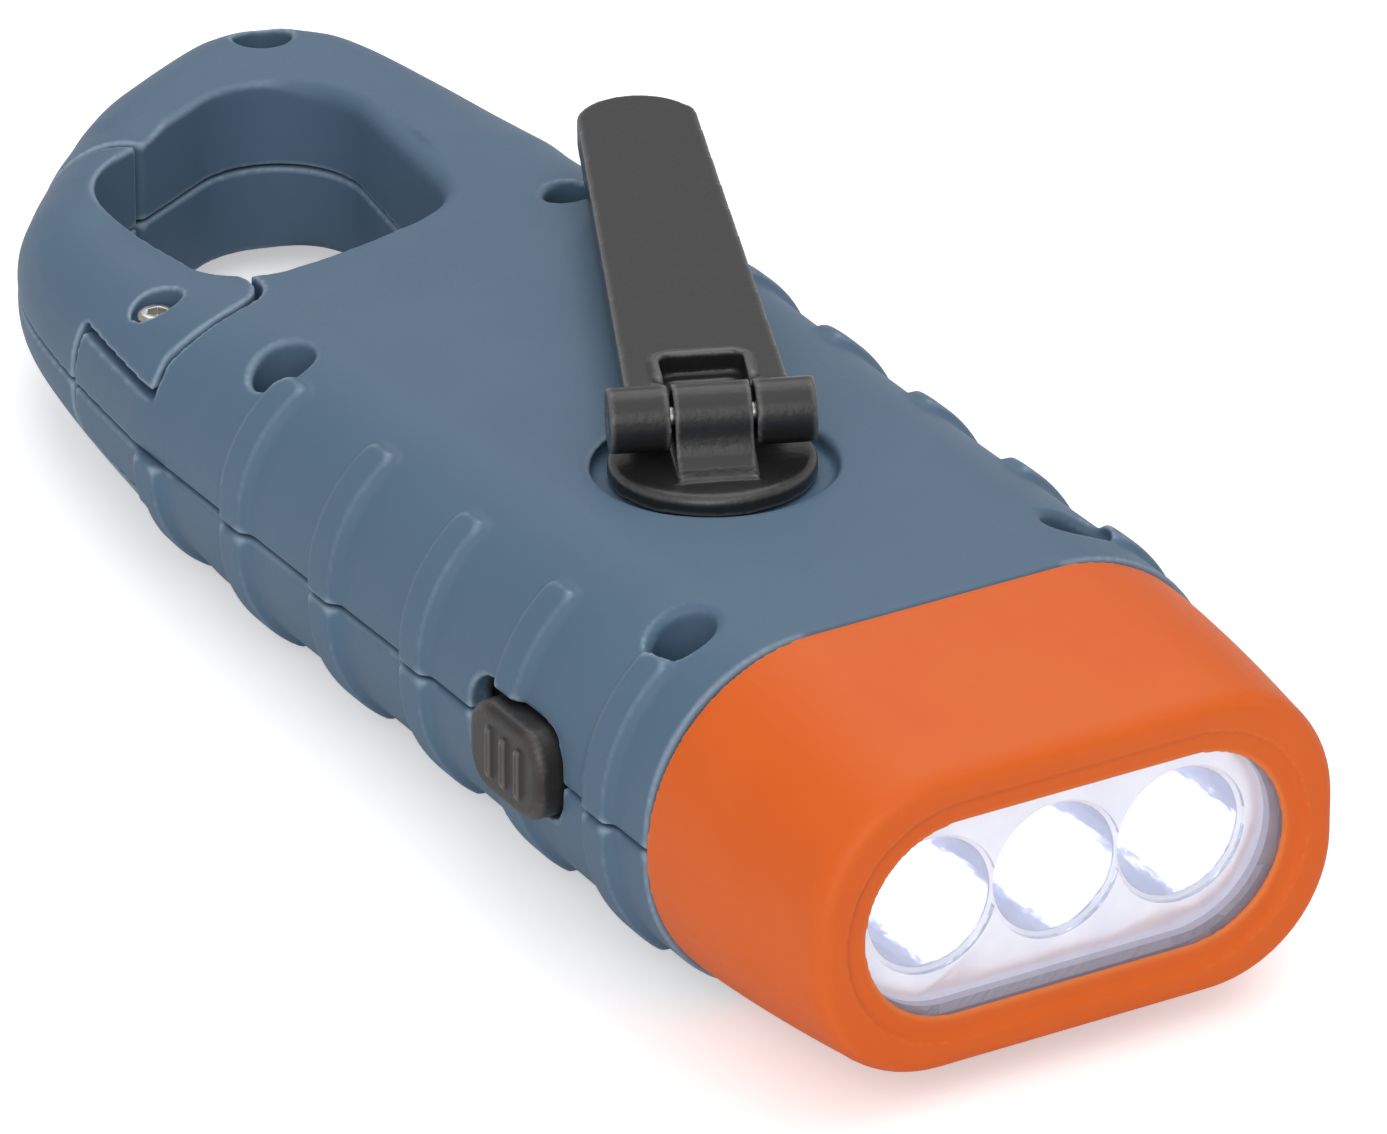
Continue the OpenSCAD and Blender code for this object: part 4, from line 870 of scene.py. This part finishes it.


# The switch button
# A small cap of soft black ABS with three raised bars for the thumb. It slides in its opening
# with a flange behind the wall and a stem that drives the switch.

# Brown-black ABS, a little duller than the crank, with a lighter highlight painted on its edges. Its fine
# grain is drawn at 0.45 mm, so that it shows.
button_abs = moulded_plastic("button_abs", tones=("#232120", "#2b2826"), roughness=0.4, grain_mm=0.45,
                             depth=0.3, edge=("#6c6661", 0.65))
# Front end, back end, half height and corner radius
BUTTON = (-33.1, -43.6, 3.7, 2.8)
CAP_BACK, CAP_FACE = 22.5, 26.55
BARS_AT, BAR_FACE, BAR_R, BAR_REACH = (-36.0, -38.1, -40.2), 26.88, 0.4, 1.7
cap = as_object(button_solid(*BUTTON, CAP_BACK, CAP_FACE), "cap")
edge = cap.modifiers.new("edge", "BEVEL")
edge.width, edge.segments, edge.limit_method, edge.angle_limit = 0.8, 4, "ANGLE", math.radians(50)
baked(cap)
for x in BARS_AT:
    ends = arc((x, BAR_REACH), BAR_R, 0, 180, 9) + arc((x, -BAR_REACH), BAR_R, 180, 360, 9)
    bar = prism(ends, 26, BAR_FACE)
    combine(cap, [as_object(in_frame(bar, Matrix.Rotation(math.radians(90), 4, "X")), "bar")], "UNION")
melt(cap, grain=0.13, rounds=4)


def slab(x0, x1, y0, y1, z0, z1):
    """A square block between six limits."""
    bm = bmesh.new()
    centre = Matrix.Translation(((x0 + x1) / 2, (y0 + y1) / 2, (z0 + z1) / 2))
    bmesh.ops.create_cube(bm, size=1.0, matrix=centre @ Matrix.Diagonal((x1 - x0, y1 - y0, z1 - z0, 1)))
    return bm


stem = [as_object(slab(-47.2, -32.1, -22.6, -21.5, -4.7, 4.7), "flange"),
        as_object(slab(-39.35, -37.35, -22, -17.5, 0.3, 2.3), "stem")]
combine(cap, stem, "UNION")
place(cap, "switch_cap", "slider", button_abs, ["switch_button"])


# The hardware and the works
# Zinc-plated steel screws and pins, a brass bush and pinion, moulded acetal gears between two black
# plates, the generator, three button cells and the green boards. All are the CAD's own parts, most
# of them inside the housing; the housing screws show in their wells and the hinge pin at its ends.
dress(["housing_screws", "plate_screws", "hub_screw", "hub_washer", "hinge_pin", "gear_axles", "motor_shaft",
       "gate_spring", "motor_can"], zinc_steel)
# Nickel plate is a cool, even grey that reflects a little more sharply than zinc.
dress(["battery_cells", "battery_tabs", "slide_switch"],
      metal("nickel_steel", tones=("#b5b8bb", "#d2d4d6"), roughness=0.28, grain_mm=0.4))
# Turned brass is a warm yellow, enamelled copper wire a red-brown, and the magnet a dull dark grey.
dress(["hub_bush", "motor_pinion", "lamp_pins"],
      metal("turned_brass", tones=("#b98f45", "#d9b56a"), roughness=0.32, grain_mm=0.3))
dress(["stator_coil"],
      metal("enamelled_copper", tones=("#8f4526", "#c06a3c"), roughness=0.35, grain_mm=0.25))
dress(["rotor_magnet"],
      metal("ferrite_magnet", tones=("#3b3d41", "#55585d"), roughness=0.5, grain_mm=0.3))
# Acetal is milky and waxy, the plates' nylon a dull black, and the boards' mask a glossier green.
# Their fine grain is drawn at 0.5 to 0.8 mm, coarser than it is.
dress(["drive_gear", "idler_gear_1", "idler_gear_2", "motor_cap"],
      moulded_plastic("gear_acetal", tones=("#e4e0d4", "#efece2"), roughness=0.4, grain_mm=0.5,
                      depth=0.05, edge=("#ffffff", 0.2)))
dress(["gear_plate_top", "gear_plate_base"],
      moulded_plastic("plate_nylon", tones=("#232629", "#303438"), roughness=0.5, grain_mm=0.5,
                      depth=0.15, edge=("#555a5f", 0.4)))
dress(["main_board", "led_board"],
      moulded_plastic("board_mask", tones=("#1f5a38", "#2c6e47"), roughness=0.35, grain_mm=0.8,
                      depth=0.05, edge=("#6a8f6f", 0.3)))


# The table and the light
# A seamless white sweep with a wide soft box above, one behind the tail and one in front, so that top
# and sides are about equally bright and only a soft, pale shadow lies round the torch.

# Matt white paper. To the camera alone it also glows, so it stays nearly white round the shadow.
sweep = blank_material("white_sweep")
tree = sweep.node_tree
rays = add(tree, "ShaderNodeLightPath")
paper = add(tree, "ShaderNodeBsdfDiffuse", {"Color": (0.9, 0.9, 0.9, 1)})
lit = add(tree, "ShaderNodeMath", {0: rays.outputs["Is Camera Ray"], 1: 0.43}, operation="MULTIPLY")
lift_up = add(tree, "ShaderNodeEmission", {"Color": (1, 1, 1, 1), "Strength": lit.outputs[0]})
both = add(tree, "ShaderNodeAddShader", {0: paper.outputs[0], 1: lift_up.outputs[0]})
add(tree, "ShaderNodeOutputMaterial", {"Surface": both.outputs[0]})

table_bm = bmesh.new()
bmesh.ops.create_grid(table_bm, x_segments=2, y_segments=2, size=4.0)
table_mesh = bpy.data.meshes.new("table")
table_bm.to_mesh(table_mesh)
table_bm.free()
table = bpy.data.objects.new("table", table_mesh)
table_mesh.materials.append(sweep)
bpy.context.scene.collection.objects.link(table)

bpy.context.scene.view_settings.view_transform = "Standard"
world = bpy.data.worlds.new("studio")
bpy.context.scene.world = world
world.use_nodes = True
world.node_tree.nodes.clear()
rays = add(world.node_tree, "ShaderNodeLightPath")
room = add(world.node_tree, "ShaderNodeBackground", {"Color": (0.98, 0.985, 1.0, 1), "Strength": 0.45})
white = add(world.node_tree, "ShaderNodeBackground", {"Color": (1, 1, 1, 1), "Strength": 1.0})
seen = add(world.node_tree, "ShaderNodeMixShader", {0: rays.outputs["Is Camera Ray"], 1: room.outputs[0],
                                                    2: white.outputs[0]})
add(world.node_tree, "ShaderNodeOutputWorld", {"Surface": seen.outputs[0]})


def soft_box(name, spot, target, size, power):
    """A rectangular light in metres and watts, turned towards a point."""
    data = bpy.data.lights.new(name, "AREA")
    data.shape, data.size, data.size_y, data.energy = "RECTANGLE", size[0], size[1], power
    lamp = bpy.data.objects.new(name, data)
    lamp.location = spot
    lamp.rotation_euler = (Vector(target) - Vector(spot)).to_track_quat("-Z", "Y").to_euler()
    bpy.context.scene.collection.objects.link(lamp)


soft_box("top_box", (0.3, 0.15, 1.5), (0, 0, 0), size=(1.5, 1.5), power=6.5)
soft_box("tail_box", (-0.9, 0.5, 1.3), (0, 0, 0), size=(1.2, 1.2), power=7.0)
soft_box("front_box", (1.0, -0.88, 0.9), (0, 0, 0), size=(1.2, 1.2), power=9.6)
